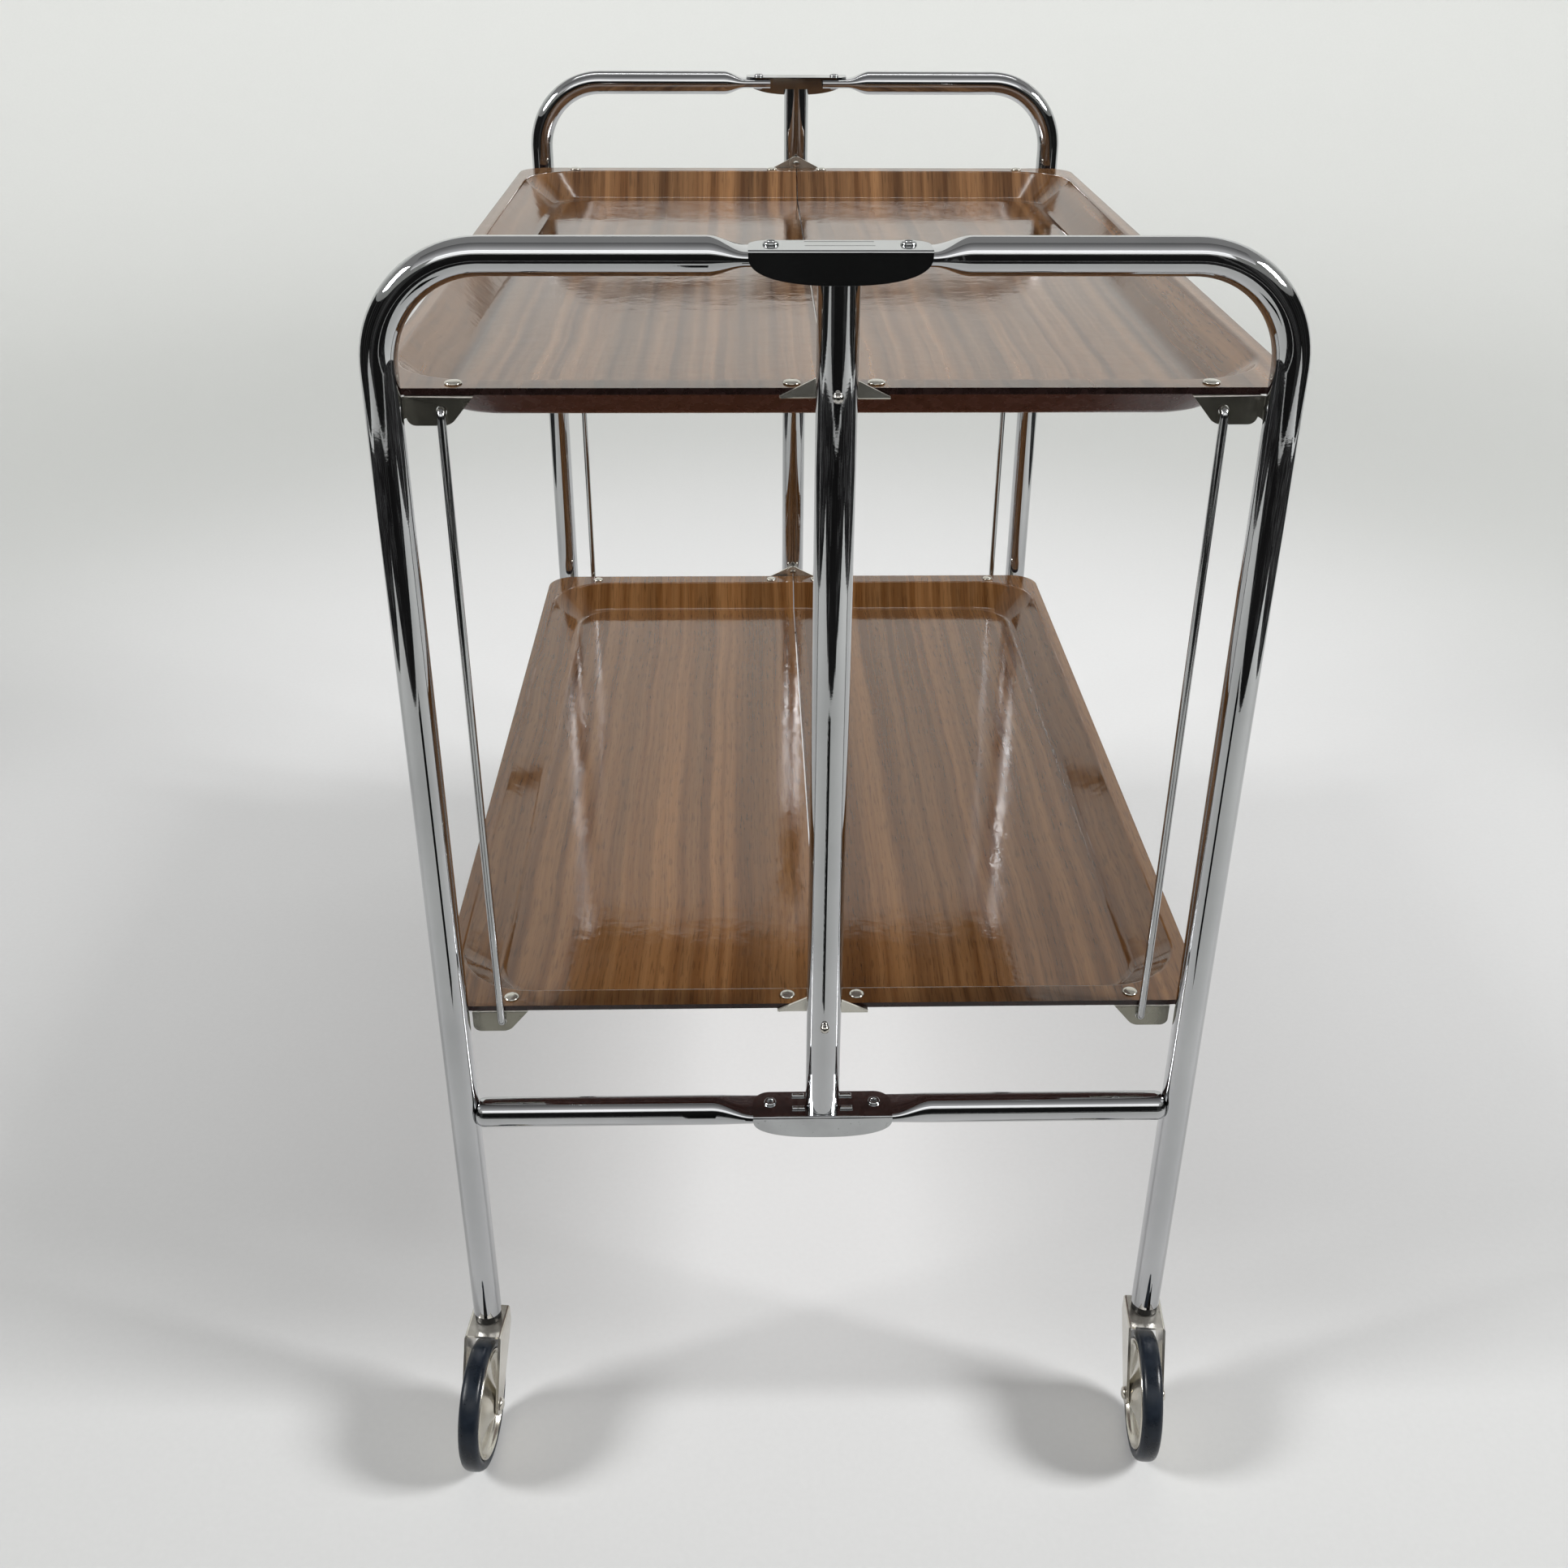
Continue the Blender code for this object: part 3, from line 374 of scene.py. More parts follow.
leg = draw_ring("leg_and_handle", TUBE_R, TUBE_SIDES, (FOOT_X, -FRAME_Y, FOOT_Z))
leg_rise = HANDLE_Z - BEND_R - FOOT_Z
ring_shift = (LEG_X - FOOT_X) * SLIT_RING / leg_rise
draw_out(ring_shift, 0.0, SLIT_RING)
draw_out(LEG_X - FOOT_X - ring_shift, 0.0, leg_rise - SLIT_RING)
bend((LEG_X - BEND_R, -FRAME_Y, HANDLE_Z - BEND_R), (0, 1, 0), BEND_STEPS)
draw_out(x=PRESS_START_X - LEG_X + BEND_R)
press_flat(leg, PRESS_START_X, PRESS_LENGTH)
walled(leg)
slit_z = FOOT_Z + SLIT_LENGTH / 2
slit = block("slit", (SLIT_WIDTH, TUBE_R, SLIT_LENGTH + CUT_OVER), (FOOT_X, -FRAME_Y - TUBE_R, slit_z))
reopen(slit)
chosen_verts(slit, lambda co: co.z > slit_z)
resize((SLIT_TOP_SHARE, 1, 1), (FOOT_X, 0, 0))
close_up(slit)
cut_away(leg, slit)

bar_start = LEG_X - TUBE_R + WELD_SINK
bar = draw_ring("crossbar", NECK_R, TUBE_SIDES, (bar_start, -FRAME_Y, CROSSBAR_Z), FACING_X)
turn, radius = 0.0, NECK_R
for step in range(1, NECK_STEPS + 1):
    new_turn = math.pi / 2 * step / NECK_STEPS
    new_radius = NECK_R + (TUBE_R - NECK_R) * math.sin(new_turn)
    draw_out(x=NECK_LENGTH * (math.cos(new_turn) - math.cos(turn)))
    resize((1, new_radius / radius, new_radius / radius), (0, -FRAME_Y, CROSSBAR_Z))
    turn, radius = new_turn, new_radius
draw_out(x=BAR_PRESS_START_X - bar_start + NECK_LENGTH)
press_flat(bar, BAR_PRESS_START_X, BAR_PRESS_LENGTH)
walled(bar)
drilled(bar, (LEG_X, -FRAME_Y, CROSSBAR_Z), (0.0, 0.0, WELD_CUT), TUBE_R, TUBE_SIDES)

stud = draw_disc("stop_stud", STUD_R, 20, (STUD_X, -FRAME_Y + TUBE_R - STUD_ROOT, STUD_Z), FACING_Y)
draw_out(y=STUD_LENGTH)
bpy.ops.mesh.bevel(offset=STUD_ROUND, segments=3, affect="EDGES")
close_up(stud)

for source, label in ((leg, "leg_and_handle"), (bar, "crossbar"), (stud, "stop_stud")):
    for corner, piece in around(smooth(source), label).items():
        finished(piece, chrome, "frame", "chrome_tube", f"{corner}_half_frame")


# Centre posts, one at each end. 18 mm chromed steel tube standing on the lower hinge bracket,
# its top under the upper one, drilled right through for the two tray pins.
RIM_Z = {"upper": 0.6195, "lower": 0.290}
TRAY_DROP = RIM_Z["upper"] - RIM_Z["lower"]
POST_Y = 0.3166
POST_R = 0.009
POST_DRILL = 0.012
PIN_RISE = 0.0028
PIN_HOLE_R = 0.0022


def both_ends(piece, name):
    """A front piece and the same at the rear, half a turn about Z: end name -> piece."""
    piece.name = f"front_{name}"
    return {"front": piece, "rear": copied(piece, f"rear_{name}", turned=True)}


post_low, post_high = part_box("front_centre_post")
post = draw_ring("post", POST_R, 64, (0.0, -POST_Y, post_low.z))
draw_out(z=post_high.z - post_low.z)
walled(post)
for rim_z in RIM_Z.values():
    drilled(post, (0.0, -POST_Y, rim_z + PIN_RISE), (0.0, POST_DRILL, 0.0), PIN_HOLE_R, 24)
for end, piece in both_ends(smooth(post), "centre_post_tube").items():
    finished(piece, chrome, "frame", "chrome_tube", f"{end}_centre_post")


# Hinge brackets, an upper and a lower one at each end, pressed from 1.2 mm sheet and chromed.
# A flat top between a deep half-moon apron outside and a short tongue inside; the upper one has
# two engraved lines, the lower one four short ribs beside the post. Two tubular rivets each.
SHEET = 0.0012
PLATE_HALF = 0.03725
PLATE_INNER_Y = 0.3061
PLATE_OUTER_Y = 0.3271
PLATE_CORNER_R = 0.009
PLATE_RISE = 0.0045
PLATE_SOFT = 0.00018
APRON_DEPTH = 0.014
APRON_END = 0.0022
APRON_FULLNESS = 0.82
APRON_BEND_R = 0.0014
TONGUE_HALF = 0.0178
TONGUE_DEPTH = 0.008
TONGUE_R = 0.005
LINE_SIZE = (0.0286, 0.0008, 0.0014)
LINE_ROWS = (-0.3093, -0.3177)
RIB_ROWS = (0.0068, -0.0035)
RIB_SIZE = (0.0070, 0.0029, 0.0029)
RIB_ROUND = 0.0013
RIB_GAP = 0.0003
HINGE_X = 0.028
SAME_PLACE = 1e-6
RIVET_PROFILE = (
    (0.0006, -0.0090), (0.0022, -0.0088), (0.0028, -0.0083), (0.0028, -0.0081), (0.0018, -0.0081),
    (0.0018, 0.0), (0.0034, 0.0), (0.00345, 0.0003), (0.0033, 0.0008), (0.0029, 0.0013), (0.0024, 0.0015),
    (0.0019, 0.0014), (0.0015, 0.0010), (0.0013, 0.0004), (0.0012, -0.0006), (0.0003, -0.0007),
)


def round_off(piece, test, radius, steps):
    """Round the edges between vertices that pass the test."""
    reopen(piece)
    chosen_verts(piece, test)
    bpy.ops.mesh.bevel(offset=radius, segments=steps, affect="EDGES")
    close_up(piece)


def round_edges(piece, test, radius, steps):
    """Round the edges whose two ends pass the test together."""
    reopen(piece)
    bpy.ops.mesh.select_mode(type="EDGE")
    bpy.ops.mesh.select_all(action="DESELECT")
    shape = bmesh.from_edit_mesh(piece.data)
    for edge in shape.edges:
        edge.select_set(test(edge.verts[0].co, edge.verts[1].co))
    bmesh.update_edit_mesh(piece.data)
    bpy.ops.mesh.bevel(offset=radius, segments=steps, affect="EDGES")
    bpy.ops.mesh.select_mode(type="VERT")
    close_up(piece)


def soften(piece, width, degrees=40.0):
    """Take the sharpness off every edge that turns more than this."""
    limit = math.radians(degrees)
    apply_change(piece, "BEVEL", width=width, segments=2, limit_method="ANGLE", angle_limit=limit)
    return piece


def even(piece):
    """Let broad faces shade flat right up to their softened edges."""
    apply_change(piece, "WEIGHTED_NORMAL", keep_sharp=True)
    return piece


def set_down(piece, place, lean=UPRIGHT):
    """Put a piece made at the origin in its place, and keep that place in its mesh."""
    only(piece)
    piece.rotation_euler = lean
    piece.location = place
    keep_place()
    return piece


def turned_piece(name, profile, sides, place=ORIGIN, lean=UPRIGHT):
    """Turn a piece about Z from (radius, height) rings, then lean it over and put it in place."""
    hollow = profile[0] == profile[-1]
    radius, height = profile[0]
    piece = draw_ring(name, radius, sides, (0.0, 0.0, height), fill="NOTHING" if hollow else "NGON")
    for new_radius, new_height in profile[1:]:
        draw_out(z=new_height - height)
        resize((new_radius / radius, new_radius / radius, 1), (0.0, 0.0, new_height))
        radius, height = new_radius, new_height
    close_up(piece, merge=SAME_PLACE if hollow else 0.0)
    return set_down(piece, place, lean)


def hinge_plate(name, tube_z):
    """Top plate, apron and tongue as one bent sheet."""
    top = tube_z + PLATE_RISE
    middle_y = -(PLATE_INNER_Y + PLATE_OUTER_Y) / 2
    size = (2 * PLATE_HALF, PLATE_OUTER_Y - PLATE_INNER_Y, SHEET)
    plate = block(name, size, (0.0, middle_y, top - SHEET / 2))
    round_edges(plate, lambda a, b: abs(a.z - b.z) > SHEET / 2 and a.y > middle_y, PLATE_CORNER_R, 10)

    shoulder = top - APRON_END
    apron = draw_disc("apron", 1.0, 128, (0.0, -PLATE_OUTER_Y, shoulder), FACING_Y)
    shape = bmesh.from_edit_mesh(apron.data)
    for vert in shape.verts:
        along, down = vert.co.x, vert.co.z - shoulder
        vert.co.x = PLATE_HALF * math.copysign(abs(along) ** APRON_FULLNESS, along)
        vert.co.z = shoulder + (APRON_DEPTH - APRON_END) * math.copysign(abs(down) ** APRON_FULLNESS, down)
    bmesh.update_edit_mesh(apron.data)
    choose_all()
    bpy.ops.mesh.bisect(plane_co=(0.0, 0.0, shoulder), plane_no=(0.0, 0.0, 1.0), clear_outer=True)
    chosen_verts(apron, lambda co: abs(co.z - shoulder) < NEAR)
    draw_out(z=APRON_END)
    choose_all()
    draw_out(y=SHEET)
    close_up(apron)
    join_on(plate, apron)

    tongue_z = top - TONGUE_DEPTH / 2
    size = (2 * TONGUE_HALF, SHEET, TONGUE_DEPTH)
    tongue = block("tongue", size, (0.0, -PLATE_INNER_Y - SHEET / 2, tongue_z))
    round_edges(tongue, lambda a, b: abs(a.y - b.y) > SHEET / 2 and a.z < tongue_z, TONGUE_R, 8)
    join_on(plate, tongue)
    round_off(
        plate, lambda co: abs(co.z - top) < NEAR and abs(co.y + PLATE_OUTER_Y) < NEAR, APRON_BEND_R, 6
    )
    return plate


top_plate = hinge_plate("top_plate", HANDLE_Z)
for row in LINE_ROWS:
    cut_away(top_plate, block("line", LINE_SIZE, (0.0, row, HANDLE_Z + PLATE_RISE)))
low_plate = hinge_plate("low_plate", CROSSBAR_Z)
rib_z = CROSSBAR_Z + PLATE_RISE
for offset in RIB_ROWS:
    for side in (-1, 1):
        rib_x = side * (POST_R + RIB_GAP + RIB_SIZE[0] / 2)
        rib = block("rib", RIB_SIZE, (rib_x, offset - POST_Y, rib_z))
        round_off(rib, lambda co: co.z > rib_z, RIB_ROUND, 5)
        join_on(low_plate, rib)

plate_chrome = plated(
    "bracket_chrome", (0.47, 0.48, 0.485), (0.41, 0.415, 0.42), (0.05, 0.11), 22.0,
    stain=(0.10, 0.085, 0.07), stain_from=0.70,
)
pitted_chrome = plated(
    "pitted_chrome", (0.50, 0.51, 0.515), (0.44, 0.445, 0.45), (0.05, 0.11), 55.0,
    stain=(0.01, 0.01, 0.01), stain_from=0.645,
)
for level, plate, tube_z, plate_finish in (
    ("top", top_plate, HANDLE_Z, plate_chrome), ("lower", low_plate, CROSSBAR_Z, pitted_chrome),
):
    smooth(soften(plate, PLATE_SOFT))
    for end, piece in both_ends(plate, f"{level}_hinge_plate").items():
        finished(even(piece), plate_finish, "frame", "chrome_tube", f"{end}_{level}_hinge_bracket")
    for side, far_side, x in (("right", "left", HINGE_X), ("left", "right", -HINGE_X)):
        name = f"front_{side}_{level}_hinge_rivet"
        rivet = smooth(turned_piece(name, RIVET_PROFILE, 32, (x, -FRAME_Y, tube_z + PLATE_RISE)))
        far_rivet = copied(rivet, f"rear_{far_side}_{level}_hinge_rivet", turned=True)
        for end, piece in (("front", rivet), ("rear", far_rivet)):
            finished(piece, plate_chrome, "frame", "chrome_tube", f"{end}_{level}_hinge_bracket")


# Tray halves, two for each tray, split down the middle. Hard-pressed laminate 3 mm thick with a
# glossy walnut face: a flat rim, a sloping wall and a flat floor, its cut edge left dark.
TRAY_END = 0.3012
TRAY_SIDE = 0.2055
SPLIT_HALF = 0.0004
TRAY_SHEET = 0.003
TRAY_SOFT = 0.0008
RIM_END = 0.014
RIM_SIDE = 0.0075
DISH_DEPTH = 0.0175
WALL_END = 0.017
WALL_SIDE = 0.0195
OUTER_CORNER_R = 0.020
RIM_CORNER_R = 0.042
FLOOR_CORNER_R = 0.030
BRIM_R = 0.003
BRIM_STEPS = 5
HEEL_R = 0.007
HEEL_STEPS = 8
INNER_HOLE_X = 0.0185
OUTER_HOLE_X = 0.1655
HOLE_Y = 0.2937
HOLE_R = 0.0019
HOLE_DRILL = 0.0035
FACE_TILT = 0.25
EDGE_TILT = 0.9
GRAIN_SHIFT = (3.7, 1.3, 0.0)
# One walnut laminate with painted light and shade: the upper tray's tones are painted lighter with stronger
# stripes, the lower tray's duller with weaker stripes.
LIT_AND_SHADED_WALNUT_TONES = {
    "upper": ((0.208, 0.104, 0.043), (0.088, 0.036, 0.011)),
    "lower": ((0.176, 0.085, 0.032), (0.106, 0.044, 0.013)),
}


def on_outline(co, outline):
    """Whether a point lies on a rounded rectangle: (half length, half width, corner, height)."""
    end, side, corner, height = outline
    away = math.hypot(max(abs(co.x) - side + corner, 0.0), max(abs(co.y) - end + corner, 0.0))
    return abs(away - corner) < 2 * NEAR and abs(co.z - height) < NEAR


def add_outline(outline):
    """Add a rounded rectangle of edges to the tray being edited."""
    end, side, corner, height = outline
    bpy.ops.mesh.primitive_plane_add(size=1.0, location=(0.0, 0.0, height), scale=(1, 1, 1))
    resize((2 * side, 2 * end, 1), (0.0, 0.0, height))
    bpy.ops.mesh.bevel(offset=corner, segments=12, affect="VERTICES")
    bpy.ops.mesh.delete(type="ONLY_FACE")


def wall_line():
    """(share of the wall's run, depth) from rim to floor, rounded at the brim and at the heel."""
    run = (WALL_END + WALL_SIDE) / 2
    slope = math.atan2(DISH_DEPTH, run)
    line = []
    for step in range(BRIM_STEPS + 1):
        turn = slope * step / BRIM_STEPS
        line.append((BRIM_R * (math.sin(turn) - math.tan(slope / 2)), BRIM_R * (1 - math.cos(turn))))
    for step in range(HEEL_STEPS + 1):
        turn = slope * (1 - step / HEEL_STEPS)
        x = run + HEEL_R * (math.tan(slope / 2) - math.sin(turn))
        line.append((x, DISH_DEPTH - HEEL_R * (1 - math.cos(turn))))
    return [(x / run, depth) for x, depth in line]


outlines = [(TRAY_END, TRAY_SIDE, OUTER_CORNER_R, RIM_Z["upper"])]
for share, depth in wall_line():
    outlines.append((
        TRAY_END - RIM_END - WALL_END * share,
        TRAY_SIDE - RIM_SIDE - WALL_SIDE * share,
        RIM_CORNER_R + (FLOOR_CORNER_R - RIM_CORNER_R) * share,
        RIM_Z["upper"] - depth,
    ))
tray = draw_ring("upper_right_tray_half", OUTER_CORNER_R, 8, ORIGIN)
bpy.ops.mesh.delete(type="VERT")
add_outline(outlines[0])
for wider, narrower in zip(outlines, outlines[1:]):
    add_outline(narrower)
    chosen_verts(tray, lambda co: on_outline(co, wider) or on_outline(co, narrower))
    bpy.ops.mesh.bridge_edge_loops()
chosen_verts(tray, lambda co: on_outline(co, outlines[-1]))
bpy.ops.mesh.edge_face_add()
choose_all()
bpy.ops.mesh.bisect(plane_co=(SPLIT_HALF, 0.0, 0.0), plane_no=(1.0, 0.0, 0.0), clear_inner=True)
choose_all()
bpy.ops.mesh.normals_make_consistent(inside=False)
shape = bmesh.from_edit_mesh(tray.data)
if sum(face.normal.z * face.calc_area() for face in shape.faces) < 0:
    bpy.ops.mesh.flip_normals()
bpy.ops.object.mode_set(mode="OBJECT")
apply_change(tray, "SOLIDIFY", thickness=TRAY_SHEET, offset=-1.0, use_even_offset=True)
soften(tray, TRAY_SOFT, 50.0)
for x in (INNER_HOLE_X, OUTER_HOLE_X):
    for y in (-HOLE_Y, HOLE_Y):
        drilled(tray, (x, y, RIM_Z["upper"] - TRAY_SHEET / 2), (0.0, 0.0, HOLE_DRILL), HOLE_R, 20)
smooth(tray, 40.0)
lower_tray = copied(tray, "lower_right_tray_half", lowered=TRAY_DROP)


def walnut(name, shift, light, dark):
    """Glossy walnut-faced laminate: long stripes along Y, fine pores and a slightly uneven gloss."""
    material, tree, place = new_finish(name)

    def stretched(source, scale):
        """Flat places on the face, moved by this half's own shift and scaled."""
        inputs = {"Vector": source, "Location": shift, "Scale": scale}
        return add_node(tree, "Mapping", inputs).outputs["Vector"]

    drift = noise(tree, stretched(place, (3.0, 8.0, 0.0)), 1.0, 2.0).node.outputs["Color"]
    push = add_node(tree, "VectorMath", {0: drift, "Scale": 0.008}, operation="SCALE")
    wavy = add_node(tree, "VectorMath", {0: place, 1: push.outputs["Vector"]}, operation="ADD")

    def grain(across, along, detail, roughness=0.5):
        return noise(tree, stretched(wavy.outputs["Vector"], (across, along, 0.0)), 1.0, detail, roughness)

    half_way = tuple((a + b) / 2 for a, b in zip(dark, light))
    colour = ramp(tree, grain(135.0, 0.8, 3.0), (0.36, dark), (0.49, half_way), (0.63, light))
    broad = ramp(tree, grain(28.0, 0.5, 2.0), (0.38, 0.78), (0.62, 1.18))
    fine = ramp(tree, grain(480.0, 4.0, 3.0, 0.6), (0.34, 0.76), (0.5, 0.98), (0.66, 1.12))
    pores = ramp(tree, grain(1000.0, 60.0, 2.0), (0.36, 0.50), (0.44, 1.0))
    for tone, share in ((broad, 1.0), (fine, 0.75), (pores, 0.6)):
        colour = mixed(tree, colour, tone, share)
    return dressed(material, {
        "Base Color": colour,
        "Roughness": ramp(tree, noise(tree, place, 14.0, 6.0, 0.65), (0.35, 0.07), (0.7, 0.15)),
        "IOR": 1.56,
        "Normal": bump(tree, noise(tree, place, 60.0, 3.0, 0.6), 0.09, 0.0015),
    })


def raw_laminate(name, dark, light):
    """The laminate's red-brown back, or its near-black cut edge, with a faint sheet grain."""
    material, tree, place = new_finish(name)
    fibre = noise(tree, place, 180.0, 5.0)
    return dressed(material, {
        "Base Color": ramp(tree, fibre, (0.3, dark), (0.75, light)),
        "Roughness": ramp(tree, fibre, (0.3, 0.20), (0.75, 0.34)),
        "Specular IOR Level": 0.4,
        "Normal": bump(tree, fibre, 0.08, 0.0004),
    })


backing = raw_laminate("laminate_back", (0.056, 0.018, 0.013), (0.084, 0.028, 0.020))
cut_edge = raw_laminate("laminate_edge", (0.012, 0.005, 0.004), (0.030, 0.012, 0.010))
tray_halves = {
    "upper_right": tray,
    "upper_left": copied(tray, "upper_left_tray_half", turned=True),
    "lower_right": lower_tray,
    "lower_left": copied(lower_tray, "lower_left_tray_half", turned=True),
}
for index, (half, piece) in enumerate(tray_halves.items()):
    level = half.split("_")[0]
    shift = tuple(index * step for step in GRAIN_SHIFT)
    # Each tray level takes its own painted lit or shaded walnut tones.
    face_finish = walnut(f"{half}_walnut", shift, *LIT_AND_SHADED_WALNUT_TONES[level])
    finished(even(piece), face_finish, f"{half}_half", "walnut_laminate", f"{half}_tray")
    piece.data.materials.append(backing)
    piece.data.materials.append(cut_edge)
    under_rim = RIM_Z[level] - TRAY_SHEET
    for face in piece.data.polygons:
        on_edge = abs(face.normal.z) < EDGE_TILT and face.center.z > under_rim - NEAR
        face.material_index = 0 if face.normal.z > FACE_TILT else 2 if on_edge else 1


# Centre brackets, one at each end of each tray half: nickelled 1.2 mm sheet plates whose round
# lobes share the tray pin, with a flange under the rim held by one rivet.
LOBE_R = 0.0052
CENTRE_REACH = 0.024
CENTRE_FLANGE_X = 0.008
CENTRE_BEND_R = 0.0009
CENTRE_SOFT = 0.00035
OUTER_LAYER_Y = 0.3030
INNER_LAYER_Y = 0.3015
FLANGE_BACK_Y = 0.2882
FLANGE_UNDER_RIM = 0.0033
PLATE_DRILL = 0.004
CUT_NORMAL_X = 0.15
CUT_NORMAL_Y = 0.5
HIGHLIT_BEND_NORMAL = 0.2
RIM_RIVET = (
    (0.0006, -0.0053), (0.0023, -0.0052), (0.0027, -0.0049), (0.0027, -0.0045), (0.0016, -0.0045),
    (0.0016, 0.0002), (0.0037, 0.0002), (0.0039, 0.0004), (0.0038, 0.0007), (0.0034, 0.0010),
    (0.0027, 0.00125), (0.0017, 0.0014), (0.0006, 0.00145),
)
nickel = plated(
    "nickelled_sheet", (0.62, 0.60, 0.54), (0.52, 0.495, 0.43), (0.13, 0.24), 40.0,
    stain=(0.12, 0.09, 0.06), stain_from=0.70, metallic=0.85,
)
# The paler finish of cut sheet ends, also used as a painted highlight on the upper bends of the bracket
# plates.
edge_and_highlight_finish = plated("edge_and_painted_highlight", (0.74, 0.72, 0.66), (0.60, 0.57, 0.50), (0.28, 0.42), 300.0, metallic=0.6)


def wrapped(piece, part):
    """Join two shapes under one tight skin."""
    only(piece, part)
    bpy.ops.object.join()
    bpy.ops.object.mode_set(mode="EDIT")
    choose_all()
    bpy.ops.mesh.convex_hull()
    close_up(piece)


def pale_edges_and_highlit_bends(piece):
    """Give a sheet piece's cut ends and slopes their rubbed, paler finish, and paint a highlight on its
    upward-facing bends with that same paler finish.
    """
    piece.data.materials.append(edge_and_highlight_finish)
    for face in piece.data.polygons:
        sheared_end = abs(face.normal.y) < CUT_NORMAL_Y and abs(face.normal.x) > CUT_NORMAL_X
        # Upward-facing bends take the paler finish as a painted highlight.
        painted_highlight_bend = abs(face.normal.y) > HIGHLIT_BEND_NORMAL and face.normal.z > HIGHLIT_BEND_NORMAL
        if sheared_end or painted_highlight_bend:
            face.material_index = 1


def centre_plate(name, layer):
    """The front one of a right half, upper tray."""
    pin_z = RIM_Z["upper"] + PIN_RISE
    foot = RIM_Z["upper"] - FLANGE_UNDER_RIM - SHEET
    piece = draw_disc(name, LOBE_R, 40, (0.0, -layer - SHEET, pin_z), FACING_Y)
    draw_out(y=SHEET)
    bpy.ops.object.mode_set(mode="OBJECT")
    tail_place = (CENTRE_REACH / 2, -layer - SHEET / 2, foot + SHEET / 2)
    wrapped(piece, block("tail", (CENTRE_REACH, SHEET, SHEET), tail_place))
    length = CENTRE_REACH - CENTRE_FLANGE_X
    depth = layer + SHEET / 2 - FLANGE_BACK_Y
    flange_place = (CENTRE_FLANGE_X + length / 2, -FLANGE_BACK_Y - depth / 2, foot + SHEET / 2)
    join_on(piece, block("flange", (length, depth, SHEET), flange_place))
    drilled(piece, (0.0, -layer, pin_z), (0.0, PLATE_DRILL, 0.0), PIN_HOLE_R)
    low, outer = foot + NEAR, -layer - SHEET + NEAR
    round_edges(piece, lambda a, b: max(a.z, b.z) < low and max(a.y, b.y) < outer, CENTRE_BEND_R, 4)
    return smooth(soften(piece, CENTRE_SOFT))


def on_tray_halves(front, back, label, finish, node_label, levels=("upper", "lower")):
    """Put a right half's front and rear piece on both halves of these trays."""
    for level in levels:
        drop = 0.0 if level == "upper" else TRAY_DROP
        for side, turned in (("right", False), ("left", True)):
            ends = ("rear", "front") if turned else ("front", "rear")
            for source, end in zip((front, back), ends):
                place = f"{level}_{side}_{end}"
                piece = even(copied(source, f"{place}_{label}", turned=turned, lowered=drop))
                finished(piece, finish, f"{level}_{side}_half", "nickel_steel", f"{place}_{node_label}")
                # Plates get paler cut ends and a painted highlight on their bends.
                if "plate" in label:
                    pale_edges_and_highlit_bends(piece)
    bpy.data.objects.remove(front)
    bpy.data.objects.remove(back)


def rim_rivets(label, x, node_label):
    """Rivet one bracket of every tray half to its rim, at this distance from the split."""
    rivet = smooth(turned_piece("rivet", RIM_RIVET, 32, (x, -HOLE_Y, RIM_Z["upper"])))
    on_tray_halves(rivet, copied(rivet, "rivet_back", mirrored="y"), label, nickel, node_label)


outer_plate = centre_plate("outer_plate", OUTER_LAYER_Y)
inner_plate = centre_plate("inner_plate", INNER_LAYER_Y)
inner_plate_back = copied(inner_plate, "inner_plate_back", mirrored="y")
bpy.data.objects.remove(inner_plate)
on_tray_halves(outer_plate, inner_plate_back, "centre_plate", nickel, "centre_bracket")
rim_rivets("inner_rivet", INNER_HOLE_X, "centre_bracket")


# Corner brackets, one under each outer corner of each tray half: nickelled sheet with the hole
# for the tie rod, a flange riveted under the rim, and on the upper tray a bent wing by the leg.
PLATE_FACE_Y = 0.3011
CORNER_INNER_X = 0.1558
CORNER_OUTER_X = 0.1858
CORNER_FOOT = 0.0193 - PIN_RISE
CORNER_CUT = 0.0105
CORNER_NOSE = 0.0006
CORNER_ROUND = 0.004
CORNER_INNER_ROUND = 0.003
CORNER_BEND_R = 0.00115
CORNER_SOFT = 0.00025
ROD_X = 0.1703
ROD_DROP = 0.010
ROD_HOLE_R = 0.0023
WING_LENGTH = 0.0067
WING_SPREAD = 0.0054
WING_CURVE = 1.4
WING_FOOT = 0.0186
WING_STEPS = 6


def corner_wing(face_y, high, low):
    """The wing beside the leg, bent outwards and drawn down toward its tip."""
    middle_z = (high + low) / 2
    size = (2 * SHEET, SHEET, high - low)
    wing = block("wing", size, (CORNER_OUTER_X, face_y, middle_z))
    reopen(wing)
    chosen_verts(wing, lambda co: co.x > CORNER_OUTER_X)
    for step in range(WING_STEPS):
        draw_out(x=(WING_LENGTH - SHEET) / WING_STEPS)
    shape = bmesh.from_edit_mesh(wing.data)
    for vert in shape.verts:
        share = max(vert.co.x - CORNER_OUTER_X, 0.0) / WING_LENGTH
        vert.co.y -= WING_SPREAD * share ** WING_CURVE
        if vert.co.z < middle_z:
            vert.co.z -= (low - RIM_Z["upper"] + WING_FOOT) * share
    bmesh.update_edit_mesh(wing.data)
    return close_up(wing)


